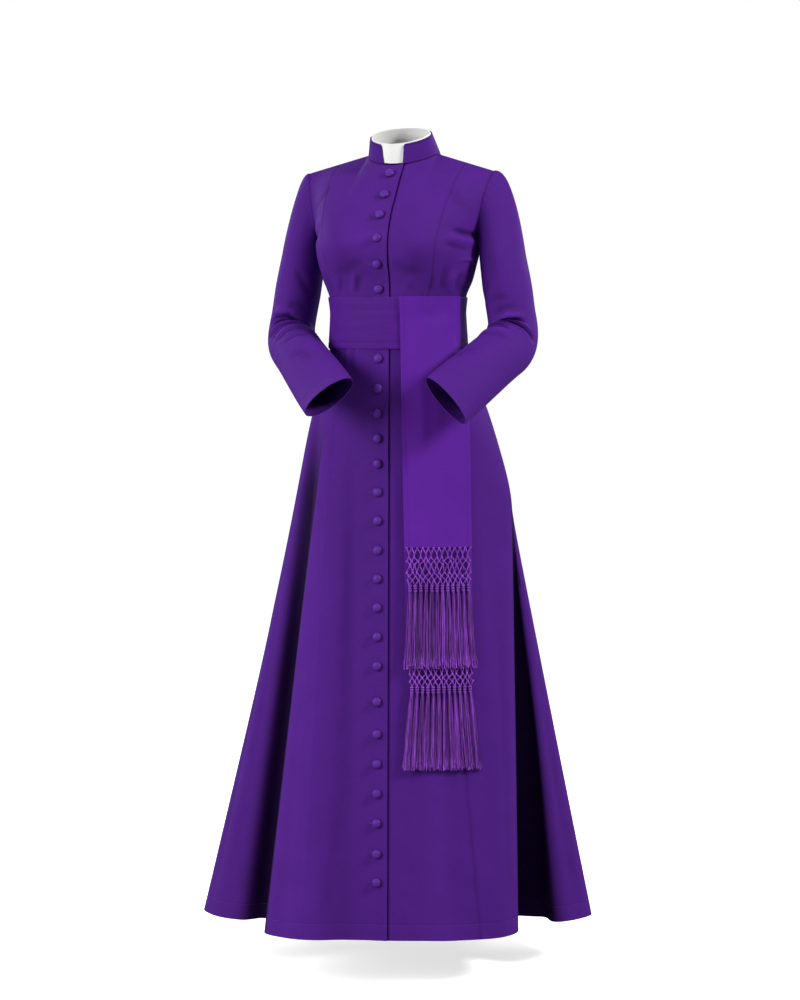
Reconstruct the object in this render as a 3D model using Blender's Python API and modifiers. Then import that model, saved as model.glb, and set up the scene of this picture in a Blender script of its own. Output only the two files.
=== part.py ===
"""A woman's single-breasted cassock with a fringed sash, worn but empty.

The bodice and skirt are panels of one cloth, each a thin wall between an outer and an inner grid of
points. The wearer's front is -Y, the wearer's left is +X, and the origin is the centre of the neck's
base, at the height of the neck point of the shoulder seams. Tables are in millimetres and degrees.
"""

import math
from collections import namedtuple

import bmesh
import bpy
import numpy as np
from mathutils import Vector

MM = 0.001

# Cloth, gaps and closure
CLOTH = 1.5 * MM
SASH_CLOTH = 1.4 * MM
SEAM_GAP = 0.35 * MM
LAP = 20.0 * MM  # the wearer's right front reaches this far past the centre, over the left one
ARMHOLE_GAP = 0.18 * MM

# Neck and collar
NECK = dict(half_width=66, front=66, back=61, centre_y=24, mean_z=-3, tilt=-16, dip=-3)
COLLAR_TOP = dict(half_width=57.5, front=53, back=53, centre_y=6, mean_z=31.5, tilt=-17.3, dip=-1.2)
COLLAR_GAP_BASE = 16.3
COLLAR_GAP_TOP = 21.5
COLLAR_CORNER = 6.0
COLLAR_CLOTH = 1.8 * MM
INSERT_CLOTH = 1.0 * MM
INSERT_RISE = 2.5 * MM

# Skirt and sash
WAIST_Z = -300.0
HEM_Z = -1429.0
SKIRT_TURN = 19.0
BAND_TOP = -262.0
BAND_BOTTOM = -356.0
BAND_LIFT = 1.2 * MM
BAND_CLOTH = 1.6 * MM
BAND_COLUMNS = 52

# Buttons
BUTTON_RADIUS = 7.4 * MM
BUTTON_HEIGHT = 5.4 * MM
BUTTON_SIDES = 8
BUTTON_LIFT = 0.6 * MM
BUTTON_HEIGHTS = (
    -39, -78, -115, -156, -203, -248,
    -373, -427, -472, -517, -563, -614, -666, -719, -771, -823, -876,
    -929, -994, -1053, -1107, -1161, -1215, -1271, -1323,
)

# Bodice: a row for each level, from the waist up. Each seam has its point there: cf the centre front,
# fp the front princess seam, sf and sb the side seam, which parts at the underarm into the front and
# the back of the armhole, bp the back princess seam and cb the centre back. The turns are the
# directions in which the row reaches sf and leaves sb, from +X towards +Y. The first line of each
# row ends with sf_turn.
Level = namedtuple(
    "Level",
    "name cf_y cf_z fp_x fp_y fp_z sf_x sf_y sf_z sf_turn "
    "sb_x sb_y sb_z sb_turn bp_x bp_y bp_z cb_y cb_z",
)
BODICE = [
    Level("waist", -121, -300, 78, -96, -300, 124, -10, -300, 90,
          124, -10, -300, 90, 60, 83, -300, 97, -300),
    Level("rib", -119, -262, 86, -98, -262, 127, -10, -262, 90,
          127, -10, -262, 90, 64, 88, -262, 98, -262),
    Level("under_bust", -120, -232, 96, -104, -232, 139, -10, -232, 90,
          139, -10, -232, 90, 72, 94, -232, 99, -232),
    Level("bust_low", -127, -204, 102, -110, -202, 146, -8, -204, 90,
          146, -8, -204, 90, 78, 98, -204, 101, -204),
    Level("bust", -129, -176, 107, -112, -173, 151, -4, -179, 90,
          151, -4, -179, 90, 84, 101, -176, 103, -176),
    Level("underarm", -126, -150, 110, -107, -147, 152, 0, -158, 88,
          152, 0, -158, 92, 90, 102, -148, 105, -148),
    Level("chest_low", -118, -126, 113, -98, -120, 156, -22, -132, 72,
          156, 34, -132, 108, 96, 101, -120, 106, -120),
    Level("chest", -106, -104, 116, -82, -94, 163, -25, -102, 52,
          163, 50, -100, 128, 101, 96, -92, 104, -90),
    Level("high_chest", -88, -82, 119, -60, -68, 168.5, -20, -75, 34,
          169, 48, -72, 146, 106, 87, -64, 100, -58),
    Level("yoke", -67, -54, 121, -31, -41, 174, -9, -51, 14,
          174, 30, -50, 166, 110, 66, -37, 94, -24),
    Level("shoulder", -42, -22, 122, 14.5, -16.6, 178, 5, -33, -9,
          178, 5, -33, 171, 112, 16.2, -13.7, 85, 10),
]
UNDERARM = 5
ROWS_BELOW = 6
ROWS_ABOVE = 8
NECK_REACH = 3.2  # levels below the shoulder over which the neckline's shape fades out
SHOULDER_NECK = (66, 24, 0)
FRONT_SPACING = (0.36, 0.48, 0.60, 0.73, 0.87, 1.0)
NECK_ANGLES_FRONT = (38, 60, 90)
NECK_ANGLES_BACK = (90, 120, 150, 180)
SIDE_STEPS = 4
BUST = dict(x=76, z=-168, rise=15, half_width=38, half_height=42)

# Skirt: the smooth oval that it hangs from, a row for each height
Oval = namedtuple("Oval", "z half_width front_y back_y centre_y")
HIPS = [
    Oval(-300, 124, -121, 97, -10),
    Oval(-357, 125.5, -121.5, 99, -10),
    Oval(-400, 138, -122, 107, -6),
    Oval(-450, 158, -122.5, 122, 0),
    Oval(-550, 187, -123, 150, 10),
    Oval(-660, 214, -124, 180, 20),
]
LOWER_ROWS = (-800, -960, -1120, -1280, -1400, HEM_Z)

# Skirt folds: a row for each line that runs from the waist to the hem, round from the lap by the
# wearer's left. waist is the angle on the oval where it leaves, start the share of the skirt's length
# at which it leaves the oval, and across and depth its hem point in axes turned by SKIRT_TURN.
# steps is the number of columns to the next line, and panel the piece that begins there.
Fold = namedtuple("Fold", "name waist start across depth steps panel")
FOLDS = [
    Fold("lap_left", 9.06, 0.0, -24, -136, 2, ""),
    Fold("front_left", 24, 0.1, 62, -136, 3, ""),
    Fold("princess_left", 39, 0.1, 147, -122, 2, "skirt_side_front_left"),
    Fold("front_round_left", 62, 0.16, 188, -100, 3, ""),
    Fold("inverted_edge_front", 99, 0.28, 216, -52, 3, ""),
    Fold("inverted_pleat_depth", 103, 0.29, 223, 112, 3, "skirt_side_back_left"),
    Fold("inverted_edge_back", 108, 0.28, 291, 48, 3, ""),
    Fold("side_left", 116, 0.25, 363, 128, 3, ""),
    Fold("back_valley_1", 126, 0.22, 334, 228, 2, ""),
    Fold("back_ridge_1", 136, 0.20, 330, 306, 2, ""),
    Fold("back_princess_left", 146, 0.20, 238, 322, 2, "skirt_back"),
    Fold("back_ridge_2", 156, 0.18, 200, 402, 2, ""),
    Fold("back_valley_2", 165, 0.18, 118, 392, 2, ""),
    Fold("back_ridge_3", 175, 0.16, 62, 448, 2, ""),
    Fold("back_valley_3", 184, 0.16, -10, 412, 2, ""),
    Fold("back_ridge_4", 193, 0.16, -88, 446, 2, ""),
    Fold("back_valley_4", 203, 0.18, -142, 390, 2, ""),
    Fold("back_princess_right", 213, 0.20, -222, 396, 2, "skirt_side_back_right"),
    Fold("back_ridge_5", 223, 0.20, -262, 330, 2, ""),
    Fold("back_valley_5", 234, 0.22, -322, 314, 2, ""),
    Fold("back_ridge_6", 246, 0.24, -350, 250, 2, ""),
    Fold("side_right", 262, 0.24, -375, 184, 3, ""),
    Fold("side_fold_right", 280, 0.20, -346, 110, 3, ""),
    Fold("pleat_mouth_right", 294, 0.16, -300, 72, 3, ""),
    Fold("pleat_depth_right", 303, 0.12, -245, 64, 3, "skirt_side_front_right"),
    Fold("edge_right", 310, 0.09, -246, -66, 3, ""),
    Fold("princess_right", 321, 0.1, -174, -122, 3, "skirt_front_right"),
    Fold("front_right", 337, 0.1, -114, -131, 2, ""),
    Fold("lap_right", 350.94, 0.0, -62, -129, 1, ""),
    Fold("centre_front", 0, 0.0, -43, -133, 1, ""),
]

# Sleeves: the elbow is the corner that the path rounds. halves across the arm and from front to back
# are given along the path, from the biceps ring. puff is how strongly the sleeve's head stands up.
Arm = namedtuple("Arm", "side biceps elbow cuff girth puff")
ARMS = [
    Arm("left", (193, 14, -190), (218, 12, -342), (150, -197, -449), 1.0, 104),
    Arm("right", (-192, 8, -190), (-202, -37, -342), (-51, -234, -443), 0.93, 66),
]
ELBOW_RADIUS = 62.0
Section = namedtuple("Section", "name along across depth")
SLEEVE = [
    Section("biceps", 0.00, 41, 56),
    Section("upper_arm", 0.14, 44, 54),
    Section("above_elbow", 0.30, 44, 51),
    Section("elbow", 0.42, 50, 52),
    Section("below_elbow", 0.56, 51, 50),
    Section("forearm", 0.78, 51, 47),
    Section("cuff", 1.00, 50, 45),
]
SLEEVE_RINGS = 13
CAP_SHARES = (0.0, 0.12, 0.3, 0.52, 0.77)
CAP_LIFT = 16.0
CAP_DROP = 70.0
# Creases in the bend, a row each: along the sleeve, round it from its outer side, half sizes, depth
Crease = namedtuple("Crease", "along turn length width depth")
ELBOW_CREASES = [
    Crease(0.335, 165, 70, 0.022, 5.0),
    Crease(0.400, 130, 60, 0.020, 4.0),
    Crease(0.455, 200, 60, 0.022, 3.0),
]

# Sash ends and their fringes, a row for each end, at heights from the neck
End = namedtuple("End", "name top bottom lift net_bottom knot_bottom tip")
SASH_ENDS = [
    End("upper", -260.8, -714, 4.2, -782, -794, -930),
    End("lower", -357.4, -897, 1.9, -966, -978, -1115),
]
END_WIDTH = 123.0
END_START_WAIST = 39.0  # how far from the centre front the end's inner edge lies, at the band
END_START_DROP = 0.022  # and how much farther it lies for each millimetre below it
END_COLUMNS = 8
END_ROW = 20.0
NET_COLUMNS = 12
NET_ROWS = 5
NET_MARGIN = 4.0
NET_CORD = 1.9 * MM
KNOT_RADIUS = 3.3 * MM
KNOT_SIDES = 5
STRAND_RADIUS = 0.95 * MM
STRANDS = 5
STRAND_ROOT = 1.9
STRAND_SPREAD = 3.0
TASSEL_FLARE = 1.2
TASSEL_GAP = 0.55

PURPLE = (0.089, 0.018, 0.246)
SASH_PURPLE = (0.107, 0.019, 0.305)
FRINGE_PURPLE = (0.156, 0.026, 0.342)
WHITE = (0.86, 0.86, 0.84)


# ---------------------------------------------------------------- scene


def clear_scene():
    for obj in list(bpy.data.objects):
        bpy.data.objects.remove(obj, do_unlink=True)


def new_collection(name, hidden=False):
    collection = bpy.data.collections.new(name)
    collection.hide_render = hidden
    bpy.context.scene.collection.children.link(collection)
    return collection


def cloth_material(name, colour, roughness):
    material = bpy.data.materials.new(name)
    material.use_nodes = True
    shader = material.node_tree.nodes["Principled BSDF"]
    shader.inputs["Base Color"].default_value = (*colour, 1.0)
    shader.inputs["Roughness"].default_value = roughness
    shader.inputs["Metallic"].default_value = 0.0
    return material


def add_object(name, mesh, material, collection):
    obj = bpy.data.objects.new(name, mesh)
    mesh.materials.clear()
    mesh.materials.append(material)
    mesh.shade_smooth()
    collection.objects.link(obj)
    return obj


def mesh_from(bm, name):
    bmesh.ops.recalc_face_normals(bm, faces=bm.faces)
    mesh = bpy.data.meshes.new(name)
    bm.to_mesh(mesh)
    bm.free()
    return mesh


# ---------------------------------------------------------------- curves and grids


def unit(vectors):
    vectors = np.asarray(vectors, float)
    return vectors / np.maximum(np.linalg.norm(vectors, axis=-1, keepdims=True), 1e-12)


def hermite(p0, p1, t0, t1, u):
    """Points at the values u on the cubic from p0 to p1 with end tangents t0 and t1."""
    u = np.asarray(u, float)[:, None]
    return (
        (2 * u**3 - 3 * u**2 + 1) * p0
        + (u**3 - 2 * u**2 + u) * t0
        + (3 * u**2 - 2 * u**3) * p1
        + (u**3 - u**2) * t1
    )


def spline_at(points, where):
    """Catmull-Rom through points, read at the index values where."""
    points = np.asarray(points, float)
    last = len(points) - 1
    out = []
    for w in np.atleast_1d(where):
        i = min(int(w), last - 1)
        u = w - i
        p1, p2 = points[i], points[i + 1]
        p0 = points[i - 1] if i > 0 else 2 * p1 - p2
        p3 = points[i + 2] if i + 2 <= last else 2 * p2 - p1
        out.append(
            0.5 * (2 * p1 + (p2 - p0) * u + (2 * p0 - 5 * p1 + 4 * p2 - p3) * u**2
                   + (3 * p1 - p0 - 3 * p2 + p3) * u**3)
        )
    return np.array(out)


def ring_through(points, steps):
    """A closed centripetal Catmull-Rom curve, with steps[i] stretches from point i to the next."""
    points = np.asarray(points, float)
    count = len(points)
    out = []
    for i in range(count):
        p = [points[(i + k) % count] for k in (-1, 0, 1, 2)]
        knots = [0.0]
        for a, b in zip(p, p[1:]):
            knots.append(knots[-1] + max(np.linalg.norm(b - a), 1e-6) ** 0.5)
        for k in range(steps[i]):
            t = knots[1] + (knots[2] - knots[1]) * k / steps[i]
            first = [
                (knots[j + 1] - t) / (knots[j + 1] - knots[j]) * p[j]
                + (t - knots[j]) / (knots[j + 1] - knots[j]) * p[j + 1]
                for j in range(3)
            ]
            second = [
                (knots[j + 2] - t) / (knots[j + 2] - knots[j]) * first[j]
                + (t - knots[j]) / (knots[j + 2] - knots[j]) * first[j + 1]
                for j in range(2)
            ]
            out.append(
                (knots[2] - t) / (knots[2] - knots[1]) * second[0]
                + (t - knots[1]) / (knots[2] - knots[1]) * second[1]
            )
    return np.array(out)


def grid_normals(grids, outward):
    """A normal for each point of each grid, shared where grids meet. outward(point) picks the side."""
    total = {}

    def key(point):
        return tuple(np.round(point / (0.02 * MM)).astype(int))

    for grid in grids:
        across = grid[:-1, 1:] - grid[1:, :-1]
        along = grid[1:, 1:] - grid[:-1, :-1]
        faces = np.cross(across, along)
        centres = (grid[:-1, :-1] + grid[1:, 1:]) / 2
        flip = np.sign(np.einsum("ijk,ijk->ij", faces, outward(centres)).sum())
        faces = faces * (flip or 1)
        for r in range(faces.shape[0]):
            for c in range(faces.shape[1]):
                for dr, dc in ((0, 0), (0, 1), (1, 0), (1, 1)):
                    k = key(grid[r + dr, c + dc])
                    total[k] = total.get(k, 0) + faces[r, c]
    return [
        unit(np.array([[total[key(point)] for point in row] for row in grid])) for grid in grids
    ]


def inset(grid, gap=SEAM_GAP / 2):
    """The grid with its four edges drawn in along the cloth."""
    grid = grid.copy()
    for edge, inner in ((0, 1), (-1, -2)):
        grid[edge] += unit(grid[inner] - grid[edge]) * gap
    for edge, inner in ((0, 1), (-1, -2)):
        grid[:, edge] += unit(grid[:, inner] - grid[:, edge]) * gap
    return grid


def wall(name, outer, inner, material, collection, closed=False):
    """One closed solid between two grids of points. closed joins the last column to the first."""
    rows, columns = outer.shape[:2]
    bm = bmesh.new()
    sides = [[[bm.verts.new(p) for p in row] for row in grid] for grid in (outer, inner)]
    stretches = columns if closed else columns - 1
    for side in sides:
        for r in range(rows - 1):
            for c in range(stretches):
                d = (c + 1) % columns
                bm.faces.new((side[r][c], side[r][d], side[r + 1][d], side[r + 1][c]))
    front, back = sides
    for r in (0, rows - 1):
        for c in range(stretches):
            d = (c + 1) % columns
            bm.faces.new((front[r][c], front[r][d], back[r][d], back[r][c]))
    if not closed:
        for c in (0, columns - 1):
            for r in range(rows - 1):
                bm.faces.new((front[r][c], front[r + 1][c], back[r + 1][c], back[r][c]))
    return add_object(name, mesh_from(bm, name), material, collection)


# ---------------------------------------------------------------- bodice


def neck_ring(size, degrees):
    """A point of a neck oval, from 0 at the front by the wearer's left."""
    a = math.radians(degrees)
    depth = size["front"] if math.cos(a) > 0 else size["back"]
    return np.array([
        size["half_width"] * math.sin(a),
        size["centre_y"] - depth * math.cos(a),
        size["mean_z"] + size["tilt"] * math.cos(a) + size["dip"] * math.cos(2 * a),
    ]) * MM


def seam_points(level):
    """The seam points of one level of the bodice, on the wearer's left, in metres."""
    (cf_y, cf_z, fp_x, fp_y, fp_z, sf_x, sf_y, sf_z, sf_turn,
     sb_x, sb_y, sb_z, sb_turn, bp_x, bp_y, bp_z, cb_y, cb_z) = level
    points = np.array([
        (0, cf_y, cf_z), (fp_x, fp_y, fp_z), (sf_x, sf_y, sf_z),
        (sb_x, sb_y, sb_z), (bp_x, bp_y, bp_z), (0, cb_y, cb_z),
    ]) * MM
    return points, sf_turn, sb_turn


def between(before, point, after):
    """The direction in which a row passes through a point."""
    return unit(unit(point - before) + unit(after - point))


def turned(degrees, slope):
    a = math.radians(degrees)
    return unit(np.array([math.cos(a), math.sin(a), slope]))


def across(p0, p1, d0, d1, u):
    """A row's stretch between two seams, leaving along d0 and arriving along d1."""
    length = np.linalg.norm(p1 - p0)
    return hermite(p0, p1, d0 * length, d1 * length, u)


def lap_share(p0, p1, d0, d1):
    """The share of the first stretch at which it is LAP from the centre."""
    low, high = 0.0, 0.6
    for _ in range(30):
        middle = (low + high) / 2
        if across(p0, p1, d0, d1, [middle])[0, 0] < LAP:
            low = middle
        else:
            high = middle
    return low


def shoulder_line(x):
    """The point of the shoulder seam at x millimetres."""
    level = BODICE[-1]
    near, far = np.array(SHOULDER_NECK), np.array([level.sf_x, level.sf_y, level.sf_z])
    return (near + (far - near) * (x - near[0]) / (far[0] - near[0])) * MM


def shoulder_points(first, last, count):
    """Points of the shoulder seam between two places on it."""
    return [shoulder_line(x) for x in np.linspace(first, last, count)]


def neckline_front(count):
    """The front's top row of count points: the neckline, then the shoulder seam."""
    lap_angle = math.degrees(math.asin(LAP / MM / NECK["half_width"]))
    points = [neck_ring(NECK, a) for a in (0, lap_angle, *NECK_ANGLES_FRONT)]
    seam = shoulder_points(SHOULDER_NECK[0], BODICE[-1].fp_x, count - len(points) + 1)
    return np.array(points + seam[1:])


def neckline_back(count):
    """The back's top row of count points: the shoulder seam, then the neckline."""
    points = [neck_ring(NECK, a) for a in NECK_ANGLES_BACK]
    seam = shoulder_points(BODICE[-1].bp_x, SHOULDER_NECK[0], count - len(points) + 1)
    return np.array(seam[:-1] + points)


def half_row(where):
    """One row of the bodice on the wearer's left, as (front, side front, side back, back) points."""
    table = np.array([level[1:] for level in BODICE], float)
    level = spline_at(table, [where])[0]
    points, sf_turn, sb_turn = seam_points(level)
    if where < UNDERARM:
        points[2] = points[3] = (points[2] + points[3]) / 2
    cf, fp, sf, sb, bp, cb = points
    ahead, behind = np.array([1.0, 0, 0]), np.array([-1.0, 0, 0])
    slope_f = (sf - fp)[2] / np.linalg.norm((sf - fp)[:2])
    slope_b = (bp - sb)[2] / np.linalg.norm((bp - sb)[:2])
    d_fp, d_bp = between(cf, fp, sf), between(sb, bp, cb)
    d_sf, d_sb = turned(sf_turn, slope_f), turned(sb_turn, slope_b)
    shares = [0.0, lap_share(cf, fp, ahead, d_fp), *FRONT_SPACING]
    even = np.linspace(0, 1, SIDE_STEPS + 1)
    front = across(cf, fp, ahead, d_fp, shares)
    back = across(bp, cb, d_bp, behind, even)
    top = len(BODICE) - 1
    fade = max(0.0, 1 - (top - where) / NECK_REACH) ** 2
    if fade:
        (cf, fp, sf, sb, bp, cb), _, _ = seam_points(BODICE[-1][1:])
        lap = LAP / MM / BODICE[-1].fp_x
        plain_front = across(cf, fp, ahead, between(cf, fp, sf), [0.0, lap, *FRONT_SPACING])
        plain_back = across(bp, cb, between(sb, bp, cb), behind, even)
        front = front + fade * (neckline_front(len(front)) - plain_front)
        back = back + fade * (neckline_back(len(back)) - plain_back)
    if where == top:
        front, back = neckline_front(len(front)), neckline_back(len(back))
        side_front = np.array(shoulder_points(fp[0] / MM, sf[0] / MM, SIDE_STEPS + 1))
        side_back = np.array(shoulder_points(sb[0] / MM, bp[0] / MM, SIDE_STEPS + 1))
    else:
        side_front = across(points[1], points[2], d_fp, d_sf, even)
        side_back = across(points[3], points[4], d_sb, d_bp, even)
    return [with_bust(part) for part in (front, side_front, side_back, back)]


def with_bust(points):
    """The ease that the darts and princess seams give over the bust."""
    points = points.copy()
    x, z = points[:, 0] / MM, points[:, 2] / MM
    wide, high = (x - BUST["x"]) / BUST["half_width"], (z - BUST["z"]) / BUST["half_height"]
    points[:, 1] -= BUST["rise"] * MM * np.exp(-(wide**2) - high**2) * (points[:, 1] < 0)
    return points


def bodice_rows():
    """The level values at which the bodice has rows."""
    below = np.linspace(0, UNDERARM, ROWS_BELOW + 1)
    above = np.linspace(UNDERARM, len(BODICE) - 1, ROWS_ABOVE + 1)
    return [*below, *above[1:]]


def mirrored(points):
    return points * np.array([-1.0, 1.0, 1.0])


def bodice_grids():
    """Grids of the bodice's panels on their shared surface, with the fronts out to the lap."""
    rows = [half_row(where) for where in bodice_rows()]
    front, side_front, side_back, back = (np.array([row[k] for row in rows]) for k in range(4))
    grids = {
        "bodice_front_left": np.concatenate([mirrored(front[:, 1:2]), front], axis=1),
        "bodice_front_right": mirrored(np.concatenate([mirrored(front[:, 1:2]), front], axis=1))[:, ::-1],
        "bodice_back": np.concatenate([back, mirrored(back)[:, -2::-1]], axis=1),
    }
    for side, place in (("left", np.array), ("right", mirrored)):
        grids["bodice_side_front_" + side] = place(side_front)
        grids["bodice_side_back_" + side] = place(side_back)
    return grids


def shoulder_up():
    """The direction square to the shoulder seam that both the front and the back share there."""
    top = BODICE[-1]
    along = unit(np.array([top.sf_x, top.sf_y, top.sf_z]) - np.array(SHOULDER_NECK))
    return unit(np.array([0, 0, 1.0]) - along * along[2])


def from_middle(points):
    """Directions that point away from the garment's axis and up from the chest."""
    away = points - np.array([0.0, -0.005, -0.16])
    away[..., 2] = np.maximum(away[..., 2], 0)
    return away


def lapped(grid, normals, full, end):
    """The grid drawn in under the other front: fully for its first columns, easing out by column end."""
    ease = np.clip((end - np.arange(grid.shape[1])) / (end + 1 - full), 0, 1)
    return grid - normals * ((CLOTH + SEAM_GAP) * ease)[None, :, None]


def build_bodice(material, collection):
    grids = bodice_grids()
    names = list(grids)
    normals = dict(zip(names, grid_normals([grids[n] for n in names], from_middle)))
    for name in names:
        outer, normal = grids[name], normals[name]
        seam = np.abs(outer[-1, :, 0]) > (SHOULDER_NECK[0] - 0.01) * MM
        side = np.sign(outer[-1, seam, :1])
        normal[-1, seam] = shoulder_up() * np.concatenate([side, side**2, side**2], axis=1)
        if name == "bodice_front_left":
            outer = lapped(outer, normal, 3, 5)
        inner = outer - normal * CLOTH
        wall(name, inset(outer), inset(inner), material, collection)
    return grids


# ---------------------------------------------------------------- collar


def build_collar(cloth, white, collection):
    angles = np.linspace(0, 1, 25)
    rises = (0.0, 0.35, 0.7, 1.0)
    rows = []
    for rise in rises:
        gap = COLLAR_GAP_BASE + (COLLAR_GAP_TOP - COLLAR_GAP_BASE) * rise
        if rise == rises[-1]:
            gap += COLLAR_CORNER / 2
        row = []
        for share in angles:
            a = gap + (360 - 2 * gap) * share
            base, top = neck_ring(NECK, a), neck_ring(COLLAR_TOP, a)
            row.append(base + (top - base) * rise)
        rows.append(row)
    grid = np.array(rows)
    corner = unit(grid[0, (0, -1)] - grid[-1, (0, -1)]) * COLLAR_CORNER / 3 * MM
    grid[-1, (0, -1)] += corner
    away = grid_normals([grid], lambda p: p - np.array([0.0, 0.015, 0.0]) - np.array([0, 0, 1]) * p)[0]
    lift = np.array([0, 0, 1.0]) * (SEAM_GAP + 0.4 * MM)
    outer = grid + lift
    wall("collar", inset(outer), inset(outer - away * COLLAR_CLOTH), cloth, collection)

    rows = []
    for rise in (0.06, 0.5, 1.0):
        row = []
        for a in np.linspace(0, 360, 24, endpoint=False):
            base, top = neck_ring(NECK, a), neck_ring(COLLAR_TOP, a)
            point = base + (top - base) * rise
            if rise == 1.0:
                point = point + unit(top - base) * INSERT_RISE
            row.append(point)
        rows.append(row)
    grid = np.array(rows)
    middle = grid.mean(axis=1, keepdims=True)
    away = grid - middle
    away[..., 2] = 0
    away = unit(away)
    outer = grid + lift - away * (COLLAR_CLOTH + 1.1 * MM)
    wall("collar_insert", outer, outer - away * INSERT_CLOTH, white, collection, closed=True)


# ---------------------------------------------------------------- skirt


def hip_oval(z, degrees):
    """A point of the smooth oval at height z in millimetres, from 0 at the front by the left."""
    table = np.array(HIPS, float)
    z_in = max(z, table[-1, 0])
    half_width, front_y, back_y, centre_y = (
        np.interp(-z_in, -table[:, 0], table[:, k]) for k in range(1, 5)
    )
    a = math.radians(degrees)
    depth = centre_y - front_y if math.cos(a) > 0 else back_y - centre_y
    return np.array([half_width * math.sin(a), centre_y - depth * math.cos(a), z]) * MM


def hem_point(fold):
    a = math.radians(SKIRT_TURN)
    x, y = fold.across, fold.depth
    return np.array([x * math.cos(a) - y * math.sin(a), x * math.sin(a) + y * math.cos(a), HEM_Z]) * MM


def fold_point(fold, z):
    """Where a fold line is at height z: on the oval above its start, then straight to its hem point."""
    start_z = WAIST_Z + (HEM_Z - WAIST_Z) * fold.start
    if z >= start_z and fold.start:
        return hip_oval(z, fold.waist)
    top = hip_oval(start_z, fold.waist)
    return top + (hem_point(fold) - top) * (z - start_z) / (HEM_Z - start_z)


def skirt_rows():
    return [oval.z for oval in HIPS] + list(LOWER_ROWS)


def skirt_ring(z):
    return ring_through([fold_point(fold, z) for fold in FOLDS], [fold.steps for fold in FOLDS])


def fold_column(name):
    index = [fold.name for fold in FOLDS].index(name)
    return sum(fold.steps for fold in FOLDS[:index])


def build_skirt(material, collection):
    """The skirt's panels, from one closed grid. Returns that grid."""
    ring = np.array([skirt_ring(z) for z in skirt_rows()])
    ring[0, :, 2] -= SEAM_GAP
    count = ring.shape[1]
    closed = np.concatenate([ring, ring[:, :1]], axis=1)
    middle = np.array([0.0, 0.06, 0.0])
    normal = grid_normals([closed], lambda p: (p - middle) * np.array([1.0, 1.0, 0.0]))[0][:, :count]
    inner = ring - normal * CLOTH

    def columns(first, last):
        start, stop = fold_column(first), fold_column(last)
        if stop <= start:
            stop += count
        return [k % count for k in range(start, stop + 1)]

    pieces = {
        "skirt_front_right": columns("princess_right", "lap_left"),
        "skirt_front_left": columns("lap_right", "princess_left"),
        "skirt_side_front_left": columns("princess_left", "inverted_pleat_depth"),
        "skirt_side_back_left": columns("inverted_pleat_depth", "back_princess_left"),
        "skirt_back": columns("back_princess_left", "back_princess_right"),
        "skirt_side_back_right": columns("back_princess_right", "pleat_depth_right"),
        "skirt_side_front_right": columns("pleat_depth_right", "princess_right"),
    }
    for name, used in pieces.items():
        outer, under, n = ring[:, used], inner[:, used], normal[:, used]
        if name == "skirt_front_left":
            outer = lapped(outer, n, 3, outer.shape[1] - 1)
            under = outer - n * CLOTH
        wall(name, inset(outer), inset(under), material, collection)
    return ring


# ---------------------------------------------------------------- sleeves


def armhole(side):
    """The armhole's points from the shoulder by the front to the underarm and up the back."""
    rows = [half_row(where) for where in bodice_rows() if where >= UNDERARM]
    front = [row[1][-1] for row in rows][::-1]
    back = [row[2][0] for row in rows]
    loop = np.array(front + back[1:-1])
    return loop if side == "left" else mirrored(loop)


def arm_path(arm):
    """(points, tangents) along the sleeve's middle line, with the elbow rounded."""
    a, b, c = (np.array(p, float) * MM for p in (arm.biceps, arm.elbow, arm.cuff))
    down, out = unit(b - a), unit(c - b)
    bend = math.acos(float(down @ out))
    cut = ELBOW_RADIUS * MM * math.tan(bend / 2)
    first, last = b - down * cut, b + out * cut
    inward = unit(out - down * float(down @ out))
    centre = first + inward * ELBOW_RADIUS * MM
    arc = ELBOW_RADIUS * MM * bend
    lengths = [np.linalg.norm(first - a), arc, np.linalg.norm(c - last)]
    total = sum(lengths)

    def at(share):
        s = share * total
        if s <= lengths[0]:
            return a + down * s, down
        if s <= lengths[0] + arc:
            turn = (s - lengths[0]) / (ELBOW_RADIUS * MM)
            radial = first - centre
            point = centre + radial * math.cos(turn) + down * ELBOW_RADIUS * MM * math.sin(turn)
            return point, unit(down * math.cos(turn) + inward * math.sin(turn))
        rest = s - lengths[0] - arc
        return last + out * rest, out

    return at


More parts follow.
